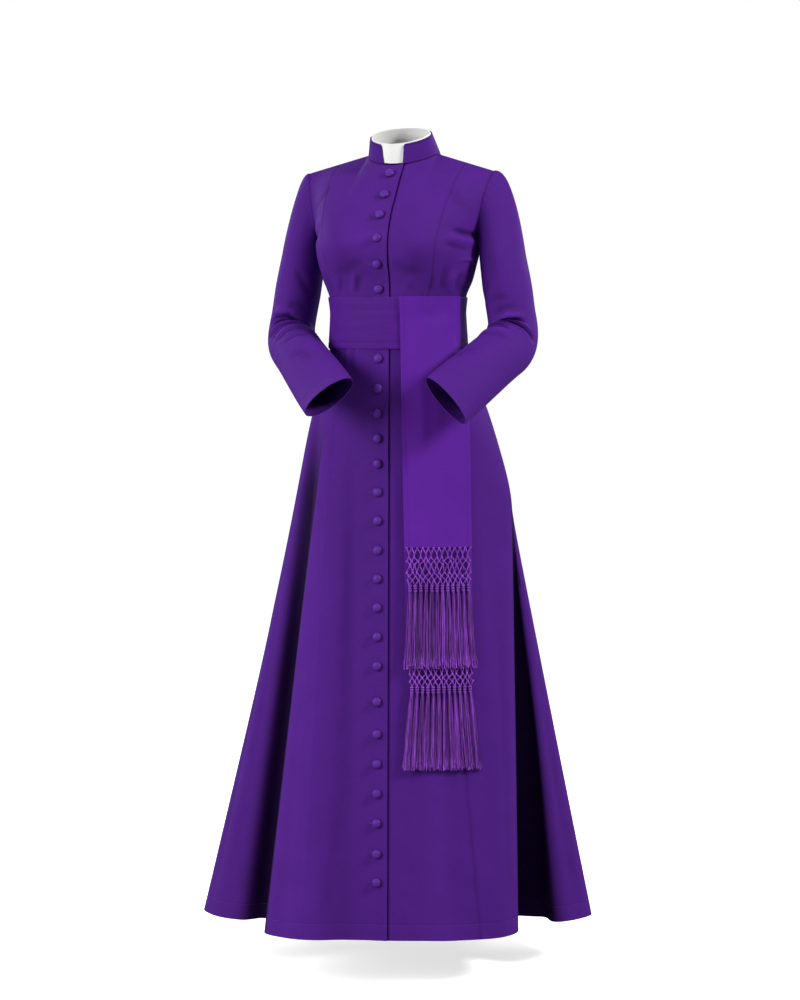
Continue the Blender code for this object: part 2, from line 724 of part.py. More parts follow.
def build_sleeve(arm, material, collection):
    loop = armhole(arm.side)
    sign = 1.0 if arm.side == "left" else -1.0
    count = len(loop)
    at = arm_path(arm)
    table = np.array([[s.along, s.across, s.depth] for s in SLEEVE])
    shares = np.linspace(0, 1, SLEEVE_RINGS + 1)
    _, tangent = at(0.0)
    outward = unit(np.array([sign, 0, 0]) - tangent * float(tangent[0] * sign))
    rings = []
    for share in shares:
        point, tangent = at(share)
        outward = unit(outward - tangent * float(tangent @ outward))
        ahead = np.cross(tangent, outward) * sign
        across_, depth = (np.interp(share, table[:, 0], table[:, k]) * arm.girth * MM for k in (1, 2))
        ring = []
        for k in range(count):
            a = 2 * math.pi * k / count
            degrees = 360 * k / count
            dent = sum(
                c.depth * MM * math.exp(-((share - c.along) / c.width) ** 2)
                * math.exp(-(((degrees - c.turn + 180) % 360 - 180) / c.length) ** 2)
                for c in ELBOW_CREASES
            )
            spoke = outward * math.cos(a) * (across_ - dent) + ahead * math.sin(a) * (depth - dent)
            ring.append(point + spoke)
        rings.append(np.array(ring))
    start = loop + np.array([sign, 0, -0.12]) * ARMHOLE_GAP
    high = 0.5 + 0.5 * np.cos(2 * np.pi * np.arange(count) / count)
    cap = []
    _, down = at(0.0)
    for share in CAP_SHARES:
        row = []
        for j in range(count):
            lift = (CAP_LIFT + arm.puff * high[j] ** 2) * MM
            pull = np.array([sign, 0, 0.5 * high[j] ** 2 - 0.25]) * lift
            drop = down * CAP_DROP * MM * (0.35 + high[j])
            row.append(hermite(start[j], rings[0][j], pull, drop, [share])[0])
        cap.append(np.array(row))
    grid = np.array(cap + rings)
    closed = np.concatenate([grid, grid[:, :1]], axis=1)
    middles = grid.mean(axis=1, keepdims=True)
    spread = np.concatenate([grid - middles, (grid - middles)[:, :1]], axis=1)

    def away(_):
        return spread[:-1, :-1]

    normal = grid_normals([closed], away)[0][:, :count]
    inner = grid - normal * CLOTH
    quarter = count // 4
    upper = [k % count for k in range(-quarter, quarter + 1)]
    under = list(range(quarter, count - quarter + 1))
    for name, used in (("sleeve_top_", upper), ("sleeve_under_", under)):
        wall(name + arm.side, inset(grid[:, used]), inset(inner[:, used]), material, collection)


# ---------------------------------------------------------------- sash


def bodice_ring(z):
    """The bodice's lowest part as a closed ring at height z in millimetres."""
    where = np.interp(z, [BODICE[0].cf_z, BODICE[1].cf_z], [0, 1])
    parts = half_row(where)
    half = np.concatenate([parts[0], parts[1][1:], parts[2][1:], parts[3][1:]])
    ring = np.concatenate([half, mirrored(half)[-2:0:-1]])
    ring[:, 2] = z * MM
    return ring


def skirt_ring_at(z, skirt):
    """The skirt's ring at height z in millimetres, from the centre front."""
    rows = skirt_rows()
    k = int(np.clip(np.searchsorted(-np.array(rows), -z) - 1, 0, len(rows) - 2))
    u = (z - rows[k]) / (rows[k + 1] - rows[k])
    return np.roll(skirt[k] + (skirt[k + 1] - skirt[k]) * u, -fold_column("centre_front"), axis=0)


def polar(ring, angles):
    """The distances of a ring from the waist's centre, at angles from the front by the left."""
    x, y = ring[:, 0], ring[:, 1] - BODICE[0].sf_y * MM
    around = np.arctan2(x, -y)
    order = np.argsort(around)
    return np.interp(angles, around[order], np.hypot(x, y)[order], period=2 * math.pi)


def body_ring(z, skirt):
    """The outermost cloth at height z in millimetres, as a closed ring from the centre front."""
    if z < BAND_BOTTOM - 1:
        return skirt_ring_at(z, skirt)
    angles = np.linspace(0, 2 * math.pi, BAND_COLUMNS, endpoint=False)
    if z > WAIST_Z + 8:
        reach = polar(bodice_ring(z), angles)
    else:
        skirt_reach = polar(skirt_ring_at(min(z, WAIST_Z), skirt), angles)
        reach = np.maximum(polar(bodice_ring(WAIST_Z), angles), skirt_reach)
    x, y = reach * np.sin(angles), BODICE[0].sf_y * MM - reach * np.cos(angles)
    return np.stack([x, y, np.full(len(angles), z * MM)], axis=1)


def flat_normals(ring):
    tangent = np.roll(ring, -1, axis=0) - np.roll(ring, 1, axis=0)
    return unit(np.stack([tangent[:, 1], -tangent[:, 0], 0 * tangent[:, 0]], axis=1))


def laid(z, distances, lift, skirt):
    """Points at height z, at distances round the left front from the end's inner edge, moved out."""
    ring = body_ring(z, skirt)
    half = len(ring) // 2
    run = np.concatenate([[0], np.cumsum(np.linalg.norm(np.diff(ring[:half], axis=0), axis=1))])
    start = END_START_WAIST + END_START_DROP * max(0.0, BAND_TOP - z)
    places = np.interp(start * MM, ring[:8, 0], run[:8]) + np.asarray(distances) * MM
    line = np.stack([np.interp(places, run, ring[:half, k]) for k in range(3)], axis=1)
    normals = flat_normals(ring)[:half]
    normal = np.stack([np.interp(places, run, normals[:, k]) for k in range(3)], axis=1)
    return line + unit(normal) * lift


def build_band(material, skirt, collection):
    grid = np.array([body_ring(z, skirt) for z in (BAND_TOP, -285, WAIST_Z, BAND_BOTTOM)])
    normal = np.array([flat_normals(ring) for ring in grid])
    inner = grid + normal * BAND_LIFT
    wall("sash_band", inner + normal * BAND_CLOTH, inner, material, collection, closed=True)


def end_rows(end):
    between = [z for z in skirt_rows() if end.bottom + END_ROW < z < end.top - END_ROW]
    return [end.top, *between, end.bottom]


def build_sash_end(end, material, skirt, collection):
    distances = np.linspace(0, END_WIDTH, END_COLUMNS + 1)
    inner = np.array([laid(z, distances, end.lift * MM, skirt) for z in end_rows(end)])
    outer = np.array([laid(z, distances, end.lift * MM + SASH_CLOTH, skirt) for z in end_rows(end)])
    wall("sash_end_" + end.name, outer, inner, material, collection)


def build_net(end, material, skirt, collection):
    """The knotted net: a lattice of diamonds whose cords are left by a Wireframe modifier."""
    top = end.bottom - 1.3
    step = (top - end.net_bottom) / NET_ROWS
    pitch = (END_WIDTH - 2 * NET_MARGIN) / NET_COLUMNS
    lift = (end.lift + 0.7) * MM
    bm = bmesh.new()
    rows = []
    for r in range(NET_ROWS + 1):
        places = [NET_MARGIN + pitch * (k + 0.5 * (r % 2)) for k in range(NET_COLUMNS + 1 - r % 2)]
        rows.append([bm.verts.new(p) for p in laid(top - step * r, places, lift, skirt)])
    for k in range(NET_COLUMNS):
        bm.faces.new((rows[0][k], rows[0][k + 1], rows[1][k]))
    for r in range(NET_ROWS - 1):
        odd = r % 2
        for k in range(1 - odd, NET_COLUMNS):
            left = rows[r + 1][k - 1 + odd]
            right = rows[r + 1][k + odd]
            bm.faces.new((rows[r][k], left, rows[r + 2][k], right))
    net = add_object("fringe_net_" + end.name, mesh_from(bm, "net"), material, collection)
    cords = net.modifiers.new("Cords", "WIREFRAME")
    cords.thickness = NET_CORD
    cords.use_boundary = True
    cords.use_even_offset = False
    cords.use_replace = True


def union(target, tool):
    """target joined with tool, which is removed."""
    boolean = target.modifiers.new("Join", "BOOLEAN")
    boolean.operation = "UNION"
    boolean.object = tool
    graph = bpy.context.evaluated_depsgraph_get()
    graph.update()
    mesh = bpy.data.meshes.new_from_object(target.evaluated_get(graph))
    target.modifiers.clear()
    target.data = mesh
    bpy.data.objects.remove(tool, do_unlink=True)


def rod(bm, low, high, sides, low_radius, high_radius):
    """A tapered rod between two points."""
    axis = Vector(high) - Vector(low)
    matrix = axis.to_track_quat("Z", "Y").to_matrix().to_4x4()
    matrix.translation = (Vector(low) + Vector(high)) / 2
    bmesh.ops.create_cone(
        bm, cap_ends=True, segments=sides, radius1=low_radius, radius2=high_radius,
        depth=axis.length, matrix=matrix,
    )


def build_tassels(end, material, skirt, collection):
    """A row of wrapped knots on a cord, each with its strands."""
    pitch = (END_WIDTH - 2 * NET_MARGIN) / NET_COLUMNS
    places = [NET_MARGIN + pitch * (k + 0.5) for k in range(NET_COLUMNS)]
    lift = (end.lift + 0.9) * MM + KNOT_RADIUS
    high = laid(end.net_bottom - TASSEL_GAP, places, lift, skirt)
    low = laid(end.knot_bottom, places, lift, skirt)
    centre = (places[0] + places[-1]) / 2
    spread = [centre + (p - centre) * TASSEL_FLARE for p in places]
    tips = laid(end.tip, spread, lift, skirt)
    ring = laid(end.net_bottom - 5.0, [NET_MARGIN, *places, END_WIDTH - NET_MARGIN], lift, skirt)

    strip = bmesh.new()
    grids = []
    normal = flat_normals_open(ring)
    for out, up in ((-1, -1), (1, -1), (1, 1), (-1, 1)):
        grids.append([strip.verts.new(p + n * out * MM + np.array([0, 0, up * 1.2 * MM]))
                      for p, n in zip(ring, normal)])
    for a in range(4):
        first, second = grids[a], grids[(a + 1) % 4]
        for k in range(len(ring) - 1):
            strip.faces.new((first[k], first[k + 1], second[k + 1], second[k]))
    for k in (0, -1):
        strip.faces.new([grid[k] for grid in grids])
    tassels = add_object("tassels_" + end.name, mesh_from(strip, "strip"), material, collection)

    knots, strands = bmesh.new(), bmesh.new()
    for top, bottom, tip in zip(high, low, tips):
        rod(knots, bottom, top, KNOT_SIDES, KNOT_RADIUS, KNOT_RADIUS * 0.8)
        down = unit(tip - top)
        sideways = unit(np.cross(down, [0, 1, 0]))
        ahead = np.cross(sideways, down)
        root = bottom - down * 4 * MM
        for k in range(STRANDS):
            turn = 2 * math.pi * k / STRANDS
            slip = sideways * math.cos(turn) + ahead * math.sin(turn)
            ragged = ((k * 7 + int(abs(top[0]) / MM)) % 5 - 2) * 1.5 * MM
            rod(strands, tip + slip * STRAND_SPREAD * MM + down * ragged,
                root + slip * STRAND_ROOT * MM, 3, STRAND_RADIUS, STRAND_RADIUS * 0.8)
    for name, bm in (("knots", knots), ("strands", strands)):
        tool = add_object(name, mesh_from(bm, name), material, collection)
        union(tassels, tool)
    tassels.data.materials.clear()
    tassels.data.materials.append(material)


def flat_normals_open(line):
    tangent = np.gradient(line, axis=0)
    return unit(np.stack([tangent[:, 1], -tangent[:, 0], 0 * tangent[:, 0]], axis=1))


# ---------------------------------------------------------------- buttons


def front_point(z, skirt):
    """The point on the centre front at height z in millimetres, and the outward direction there."""
    if z <= WAIST_Z:
        def at(height):
            return skirt_ring_at(height, skirt)[[-1, 0, 1]]
    else:
        wheres = bodice_rows()
        rows = [half_row(where)[0] for where in wheres]
        line = np.array([[mirrored(row[1]), row[0], row[1]] for row in rows])

        def at(height):
            return np.array([[np.interp(height * MM, line[:, k, 2], line[:, k, j]) for j in range(3)]
                             for k in range(3)])
    up = at(z + BUTTON_RADIUS / MM)[1] - at(z - BUTTON_RADIUS / MM)[1]
    here = at(z)
    return here[1], unit(np.cross(here[2] - here[0], up))


def build_button(number, z, material, skirt, collection):
    """A shank button covered in cloth: a dome turned about its axis."""
    profile = [(0, 0), (0.86, 0), (1.0, 0.28), (0.68, 0.8), (0, 1.0)]
    bm = bmesh.new()
    line = [bm.verts.new((r * BUTTON_RADIUS, 0, h * BUTTON_HEIGHT)) for r, h in profile[::-1]]
    for a, b in zip(line, line[1:]):
        bm.edges.new((a, b))
    mesh = bpy.data.meshes.new("dome")
    bm.to_mesh(mesh)
    bm.free()
    button = add_object(f"button_{number:02d}", mesh, material, collection)
    turn = button.modifiers.new("Turn", "SCREW")
    turn.steps = turn.render_steps = BUTTON_SIDES
    turn.use_merge_vertices = True
    turn.merge_threshold = 0.00001
    point, outward = front_point(z, skirt)
    button.rotation_euler = Vector(outward).to_track_quat("Z", "Y").to_euler()
    button.location = Vector(point + outward * BUTTON_LIFT)


# ---------------------------------------------------------------- all


def main():
    clear_scene()
    garment = new_collection("cassock")
    purple = cloth_material("purple_gabardine", PURPLE, 0.62)
    sash_cloth = cloth_material("purple_sash_cloth", SASH_PURPLE, 0.55)
    thread = cloth_material("magenta_purple_thread", FRINGE_PURPLE, 0.5)
    white = cloth_material("white_collar_insert", WHITE, 0.45)

    build_bodice(purple, garment)
    build_collar(purple, white, garment)
    skirt = build_skirt(purple, garment)
    for arm in ARMS:
        build_sleeve(arm, purple, garment)
    build_band(sash_cloth, skirt, garment)
    for end in SASH_ENDS:
        build_sash_end(end, sash_cloth, skirt, garment)
        build_net(end, thread, skirt, garment)
        build_tassels(end, thread, skirt, garment)
    for number, z in enumerate(BUTTON_HEIGHTS, start=1):
        build_button(number, z, purple, skirt, garment)


main()
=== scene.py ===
"""A woman's single-breasted cassock with a fringed sash, dressed over its rigid frame.

The wearer's front is -Y, the wearer's left is +X, and the origin is the centre of the neck's base.
Tables are in millimetres and degrees. Every cloth piece is laid out on the same named surfaces as
the frame, with finer rows, then given its creases, its seams and its thickness.
"""

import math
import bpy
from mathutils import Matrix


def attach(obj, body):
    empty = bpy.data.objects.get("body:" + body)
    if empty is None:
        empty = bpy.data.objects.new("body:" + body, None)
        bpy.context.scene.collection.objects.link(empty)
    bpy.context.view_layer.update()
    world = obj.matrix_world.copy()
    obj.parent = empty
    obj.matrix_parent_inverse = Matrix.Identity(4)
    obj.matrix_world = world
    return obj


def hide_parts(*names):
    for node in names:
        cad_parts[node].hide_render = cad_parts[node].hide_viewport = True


bl_info = {
    "name": "Cassock with Fringed Sash",
    "version": (1, 0, 0),
    "blender": (4, 5, 0),
    "location": "View3D > Sidebar > Cassock",
    "description": "Builds the cloth, buttons, sash and fringe of a long cassock",
    "category": "Object",
}

from collections import namedtuple
from functools import cache

import bmesh
import bpy
import numpy as np
from mathutils import Vector

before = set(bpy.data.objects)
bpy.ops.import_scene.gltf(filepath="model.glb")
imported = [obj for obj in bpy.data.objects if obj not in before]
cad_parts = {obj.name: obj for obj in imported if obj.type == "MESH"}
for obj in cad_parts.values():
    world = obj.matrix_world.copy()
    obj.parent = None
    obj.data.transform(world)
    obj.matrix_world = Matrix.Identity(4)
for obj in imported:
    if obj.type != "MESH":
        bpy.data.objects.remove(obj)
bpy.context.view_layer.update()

MM = 0.001
BODY = "root"

# ---------------------------------------------------------------- the garment's own sizes

LAP = 20.0
UNDERLAP = 1.75  # how far the wearer's left front lies under the right one
UNDER_DIP = 0.8  # how far the under front sinks beside the lap's edge
WAIST_Z = -300.0
HEM_Z = -1429.0
SKIRT_TURN = 19.0
BAND_TOP = -262.0
BAND_BOTTOM = -356.0
BAND_LIFT = 1.4
BAND_COLUMNS = 200
SHOULDER_NECK = (66, 24, 0)
CHEST_MIDDLE = (0.0, -5.0, -160.0)
SKIRT_MIDDLE_Y = 60.0
COLLAR_MIDDLE_Y = 15.0

NECK = dict(half_width=66, front=66, back=61, centre_y=24, mean_z=-3, tilt=-16, dip=-3)
COLLAR_TOP = dict(half_width=57.5, front=53, back=53, centre_y=6, mean_z=31.5, tilt=-17.3, dip=-1.2)
COLLAR_GAP_BASE = 16.3
COLLAR_GAP_TOP = 21.5
COLLAR_CORNER = 6.0
COLLAR_CLOTH = 1.8
COLLAR_STITCH_DROP = 3.0  # how far below the collar's edge it is stitched
COLLAR_STITCH_DIP = 0.3
# painted shade along the collar's sunk stitch line
COLLAR_STITCH_PAINTED_SHADE = 0.35
COLLAR_RAISE = 0.75  # how far the collar stands clear of the bodice's neckline
COLLAR_ROWS = 15
COLLAR_COLUMNS = 161
INSERT_WALL = 1.0
INSERT_INSIDE = 1.1  # how far inside the collar's cloth the insert stands
INSERT_RISE = 2.5
INSERT_RISES = (0.06, 0.2, 0.4, 0.6, 0.8, 0.94, 1.0)
INSERT_COLUMNS = 121

BUTTON_HEIGHTS = (
    -39, -78, -115, -156, -203, -248,
    -373, -427, -472, -517, -563, -614, -666, -719, -771, -823, -876,
    -929, -994, -1053, -1107, -1161, -1215, -1271, -1323,
)

# The panels of the bodice and of the skirt
PANELS = (
    "front_left", "front_right", "side_front_left", "side_front_right",
    "side_back_left", "side_back_right", "back",
)

# Bodice: a row for each level, from the waist up. Each seam has its point there: cf the centre front,
# fp the front princess seam, sf and sb the side seam, which parts at the underarm into the front and
# the back of the armhole, bp the back princess seam and cb the centre back. The turns are the
# directions in which the row reaches sf and leaves sb, from +X towards +Y.
Level = namedtuple(
    "Level",
    "name cf_y cf_z fp_x fp_y fp_z sf_x sf_y sf_z sf_turn "
    "sb_x sb_y sb_z sb_turn bp_x bp_y bp_z cb_y cb_z",
)
BODICE = [
    Level("waist", -121, -300, 78, -96, -300, 124, -10, -300, 90,
          124, -10, -300, 90, 60, 83, -300, 97, -300),
    Level("rib", -119, -262, 86, -98, -262, 127, -10, -262, 90,
          127, -10, -262, 90, 64, 88, -262, 98, -262),
    Level("under_bust", -120, -232, 96, -104, -232, 139, -10, -232, 90,
          139, -10, -232, 90, 72, 94, -232, 99, -232),
    Level("bust_low", -127, -204, 102, -110, -202, 146, -8, -204, 90,
          146, -8, -204, 90, 78, 98, -204, 101, -204),
    Level("bust", -129, -176, 107, -112, -173, 151, -4, -179, 90,
          151, -4, -179, 90, 84, 101, -176, 103, -176),
    Level("underarm", -126, -150, 110, -107, -147, 152, 0, -158, 88,
          152, 0, -158, 92, 90, 102, -148, 105, -148),
    Level("chest_low", -118, -126, 113, -98, -120, 156, -22, -132, 72,
          156, 34, -132, 108, 96, 101, -120, 106, -120),
    Level("chest", -106, -104, 116, -82, -94, 163, -25, -102, 52,
          163, 50, -100, 128, 101, 96, -92, 104, -90),
    Level("high_chest", -88, -82, 119, -60, -68, 168.5, -20, -75, 34,
          169, 48, -72, 146, 106, 87, -64, 100, -58),
    Level("yoke", -67, -54, 121, -31, -41, 174, -9, -51, 14,
          174, 30, -50, 166, 110, 66, -37, 94, -24),
    Level("shoulder", -42, -22, 122, 14.5, -16.6, 178, 5, -33, -9,
          178, 5, -33, 171, 112, 16.2, -13.7, 85, 10),
]
UNDERARM = 5  # the level at which the side seam parts
NECK_REACH = 3.2  # how many levels the neckline shapes, and the shoulder seam
SHOULDER_REACH = 1.3
BODICE_CREASE_DEPTH = 1.6
BODICE_PAINTED_HOLLOW_SHADE = 0.1  # how much painted shade a hollow gets for each millimetre of its depth, and at most
BODICE_PAINTED_HOLLOW_SHADE_MOST = 0.45
BUST = dict(x=76, z=-168, rise=15, half_width=38, half_height=42)

# Skirt: the smooth oval that it hangs from, a row for each height
Oval = namedtuple("Oval", "z half_width front_y back_y centre_y")
HIPS = [
    Oval(-300, 124, -121, 97, -10),
    Oval(-357, 125.5, -121.5, 99, -10),
    Oval(-400, 138, -122, 107, -6),
    Oval(-450, 158, -122.5, 122, 0),
    Oval(-550, 187, -123, 150, 10),
    Oval(-660, 214, -124, 180, 20),
]

# Skirt folds: a row for each line that runs from the waist to the hem, round from the lap by the
# wearer's left. waist is the angle on the oval where it leaves, start the share of the skirt's length
# at which it leaves the oval, and across and depth its hem point in axes turned by SKIRT_TURN.
# steps is the number of columns to the next line, and seam says that a seam follows the line.
Fold = namedtuple("Fold", "name waist start across depth steps seam", defaults=(False,))
FOLDS = [Fold(*row) for row in (
    ("lap_left", 9.06, 0.0, -24, -136, 5),
    ("front_left", 24, 0.1, 62, -136, 10),
    ("princess_left", 39, 0.1, 147, -122, 8, True),
    ("front_round_left", 62, 0.16, 188, -100, 12),
    ("inverted_edge_front", 99, 0.28, 216, -52, 14),
    ("inverted_pleat_depth", 103, 0.29, 223, 112, 12),
    ("inverted_edge_back", 108, 0.28, 291, 48, 14),
    ("side_left", 116, 0.25, 363, 128, 12),
    ("back_valley_1", 126, 0.22, 334, 228, 10),
    ("back_ridge_1", 136, 0.20, 330, 306, 10),
    ("back_princess_left", 146, 0.20, 238, 322, 10, True),
    ("back_ridge_2", 156, 0.18, 200, 402, 10),
    ("back_valley_2", 165, 0.18, 118, 392, 10),
    ("back_ridge_3", 175, 0.16, 62, 448, 10),
    ("back_valley_3", 184, 0.16, -10, 412, 10),
    ("back_ridge_4", 193, 0.16, -88, 446, 10),
    ("back_valley_4", 203, 0.18, -142, 390, 10),
    ("back_princess_right", 213, 0.20, -222, 396, 10, True),
    ("back_ridge_5", 223, 0.20, -262, 330, 10),
    ("back_valley_5", 234, 0.22, -322, 314, 10),
    ("back_ridge_6", 246, 0.24, -350, 250, 10),
    ("side_right", 262, 0.24, -375, 184, 12),
    ("side_fold_right", 280, 0.20, -346, 110, 12),
    ("pleat_mouth_right", 294, 0.16, -300, 72, 10),
    ("pleat_depth_right", 303, 0.12, -245, 64, 14),
    ("edge_right", 310, 0.09, -246, -66, 14),
    ("princess_right", 321, 0.1, -174, -122, 10, True),
    ("front_right", 337, 0.1, -114, -131, 8),
    ("lap_right", 350.94, 0.0, -62, -129, 4),
    ("centre_front", 0, 0.0, -43, -133, 4),
)]
FOLD_NAMES = [fold.name for fold in FOLDS]
SKIRT_ROW = 12.0
HEM_DEPTH = 29.0  # how far above its edge the hem is sewn down
HEM_DIP = 0.45
SKIRT_PAINTED_HOLLOW_SHADE = 0.02  # as for the bodice
SKIRT_PAINTED_HOLLOW_SHADE_MOST = 0.24
SKIRT_ROUNDS = 10  # how often the rows are smoothed down the skirt

# Inside a pleat's recess the colour gets painted shade. start and end are places among the fold lines,
# each with how softly the painted shade begins and ends, and top is where the pleat opens.
PleatShade = namedtuple("PleatShade", "start end soft_start soft_end top depth")
PAINTED_PLEAT_SHADES = [
    PleatShade(4.02, 6.4, 0.12, 0.60, -560, 0.74),
    PleatShade(22.45, 25.0, 1.35, 0.05, -470, 0.81),
]
PLEAT_SHADE_FADE = 160.0

# Sleeves: the elbow is the corner that the path rounds, and puff is how strongly the sleeve's head
# stands up. A section has its half widths, across the arm and from front to back, at a share of the
# path from the biceps ring.
Arm = namedtuple("Arm", "side biceps elbow cuff girth puff")
ARMS = [
    Arm("left", (193, 14, -190), (218, 12, -342), (150, -197, -449), 1.0, 104),
    Arm("right", (-192, 8, -190), (-202, -37, -342), (-51, -234, -443), 0.93, 66),
]
ELBOW_RADIUS = 62.0
Section = namedtuple("Section", "name along across depth")
SLEEVE = [
    Section("biceps", 0.00, 41, 56),
    Section("upper_arm", 0.14, 44, 54),
    Section("above_elbow", 0.30, 44, 51),
    Section("elbow", 0.42, 50, 52),
    Section("below_elbow", 0.56, 51, 50),
    Section("forearm", 0.78, 51, 47),
    Section("cuff", 1.00, 50, 45),
]
SLEEVE_RINGS = 190
CAP_ROWS = 16
CAP_LIFT = 16.0
CAP_DROP = 70.0
CAP_SHARE = 0.3  # the share of the path that the cap counts for, before the biceps ring
EASE_RIPPLES = 22
EASE_HEIGHT = 0.7
EASE_BEFORE = 0.27  # where the ripples stand before the biceps ring, and their reach
EASE_REACH = 0.045
SLEEVE_PAINTED_HOLLOW_SHADE = 0.08  # as for the bodice
SLEEVE_PAINTED_HOLLOW_SHADE_MOST = 0.64
HEAD_TUCK = 1.1  # how far the sleeve's head is let into the bodice, so that no light shows at the seam
HEAD_SINK = 0.7  # the depth of the armhole's seam
JOIN_PAINTED_SHADE = 0.5  # painted shade where the sleeve or the collar joins the bodice
CUFF_HEM = 24.0
CUFF_DIP = 0.5

# The empty cuffs have fallen flat. The direction is the one across which each has closed, from its
# upper side to its under side, and the under side has drawn back up the arm.
CUFF_CLOSED = {"left": (-0.756, 0.473, -0.454), "right": (0.353, 0.628, -0.692)}
CUFF_FLAT = (1.13, 0.64)  # the cuff's width and depth against those of its round form
CUFF_FROM = 0.5  # the share of the sleeve's path at which the fall begins
CUFF_SLANT = 0.45
CUFF_SHIFT = -6.0

# Sash ends and their fringes, a row for each end, at heights from the neck
End = namedtuple("End", "name top bottom lift net_bottom knot_bottom tip")
SASH_ENDS = [
    End("upper", -260.8, -714, 4.2, -782, -794, -930),
    End("lower", -357.4, -897, 1.9, -966, -978, -1115),
]
END_WIDTH = 123.0
END_START_WAIST = 39.0
END_START_DROP = 0.022
TASSELS = 12
NET_MARGIN = 4.0

# ---------------------------------------------------------------- creases, listed one by one

# The line that a crease follows, its half width and its height, which is below nothing for a trough.
# On the bodice the line is in x and z, on its front or on its back.
FRONT, BACK = -1, 1
BODICE_CREASES = {FRONT: [
    ([(128, -140), (146, -149), (164, -151)], 4.5, -2.6),
    ([(122, -150), (140, -160), (158, -166)], 6.0, 1.8),
    ([(118, -164), (134, -174), (150, -180)], 5.0, -1.5),
    ([(146, -190), (148, -198)], 8.0, 2.4),
    ([(106, -258), (112, -232), (122, -204)], 4.5, -1.7),
    ([(116, -258), (122, -236), (131, -212)], 4.0, 1.3),
    ([(124, -258), (130, -238), (140, -216)], 4.5, -1.7),
    ([(90, -258), (94, -240), (101, -222)], 4.0, -1.1),
    ([(60, -258), (62, -238)], 5.0, -0.8),
    ([(-42, -258), (-38, -238), (-32, -220)], 4.5, -1.5),
    ([(-52, -258), (-49, -236), (-44, -214)], 4.5, 1.1),
    ([(-78, -258), (-75, -242), (-71, -228)], 4.0, -1.5),
    ([(-100, -258), (-104, -236), (-112, -214)], 5.0, -1.5),
    ([(-122, -250), (-130, -226), (-140, -206)], 5.0, -1.2),
    ([(-126, -146), (-142, -156), (-156, -160)], 5.0, -1.9),
    ([(-118, -120), (-134, -134), (-148, -144)], 7.0, 1.3),
    ([(-112, -60), (-128, -84), (-146, -108)], 7.0, -1.0),
    ([(112, -60), (128, -84), (148, -108)], 8.0, -1.1),
    ([(30, -150), (-20, -158), (-60, -160)], 12.0, 1.0),
    ([(24, -196), (56, -214), (84, -222)], 9.0, -1.2),
    ([(-24, -196), (-56, -214), (-84, -222)], 9.0, -1.2),
], BACK: [
    ([(-90, -240), (-40, -236), (10, -243)], 6.0, -1.8),
    ([(-60, -222), (0, -219), (70, -226)], 7.0, 1.4),
    ([(20, -250), (60, -243), (100, -247)], 5.0, -1.7),
    ([(-110, -206), (-70, -200), (-20, -205)], 7.0, -1.0),
    ([(104, -60), (126, -92), (146, -122)], 8.0, -1.6),
    ([(-104, -64), (-124, -92), (-148, -118)], 8.0, -1.4),
    ([(128, -146), (144, -156), (156, -160)], 5.0, -1.8),
    ([(-124, -148), (-142, -160), (-154, -166)], 5.0, -1.8),
    ([(0, -30), (4, -90), (-2, -150)], 14.0, -1.0),
]}

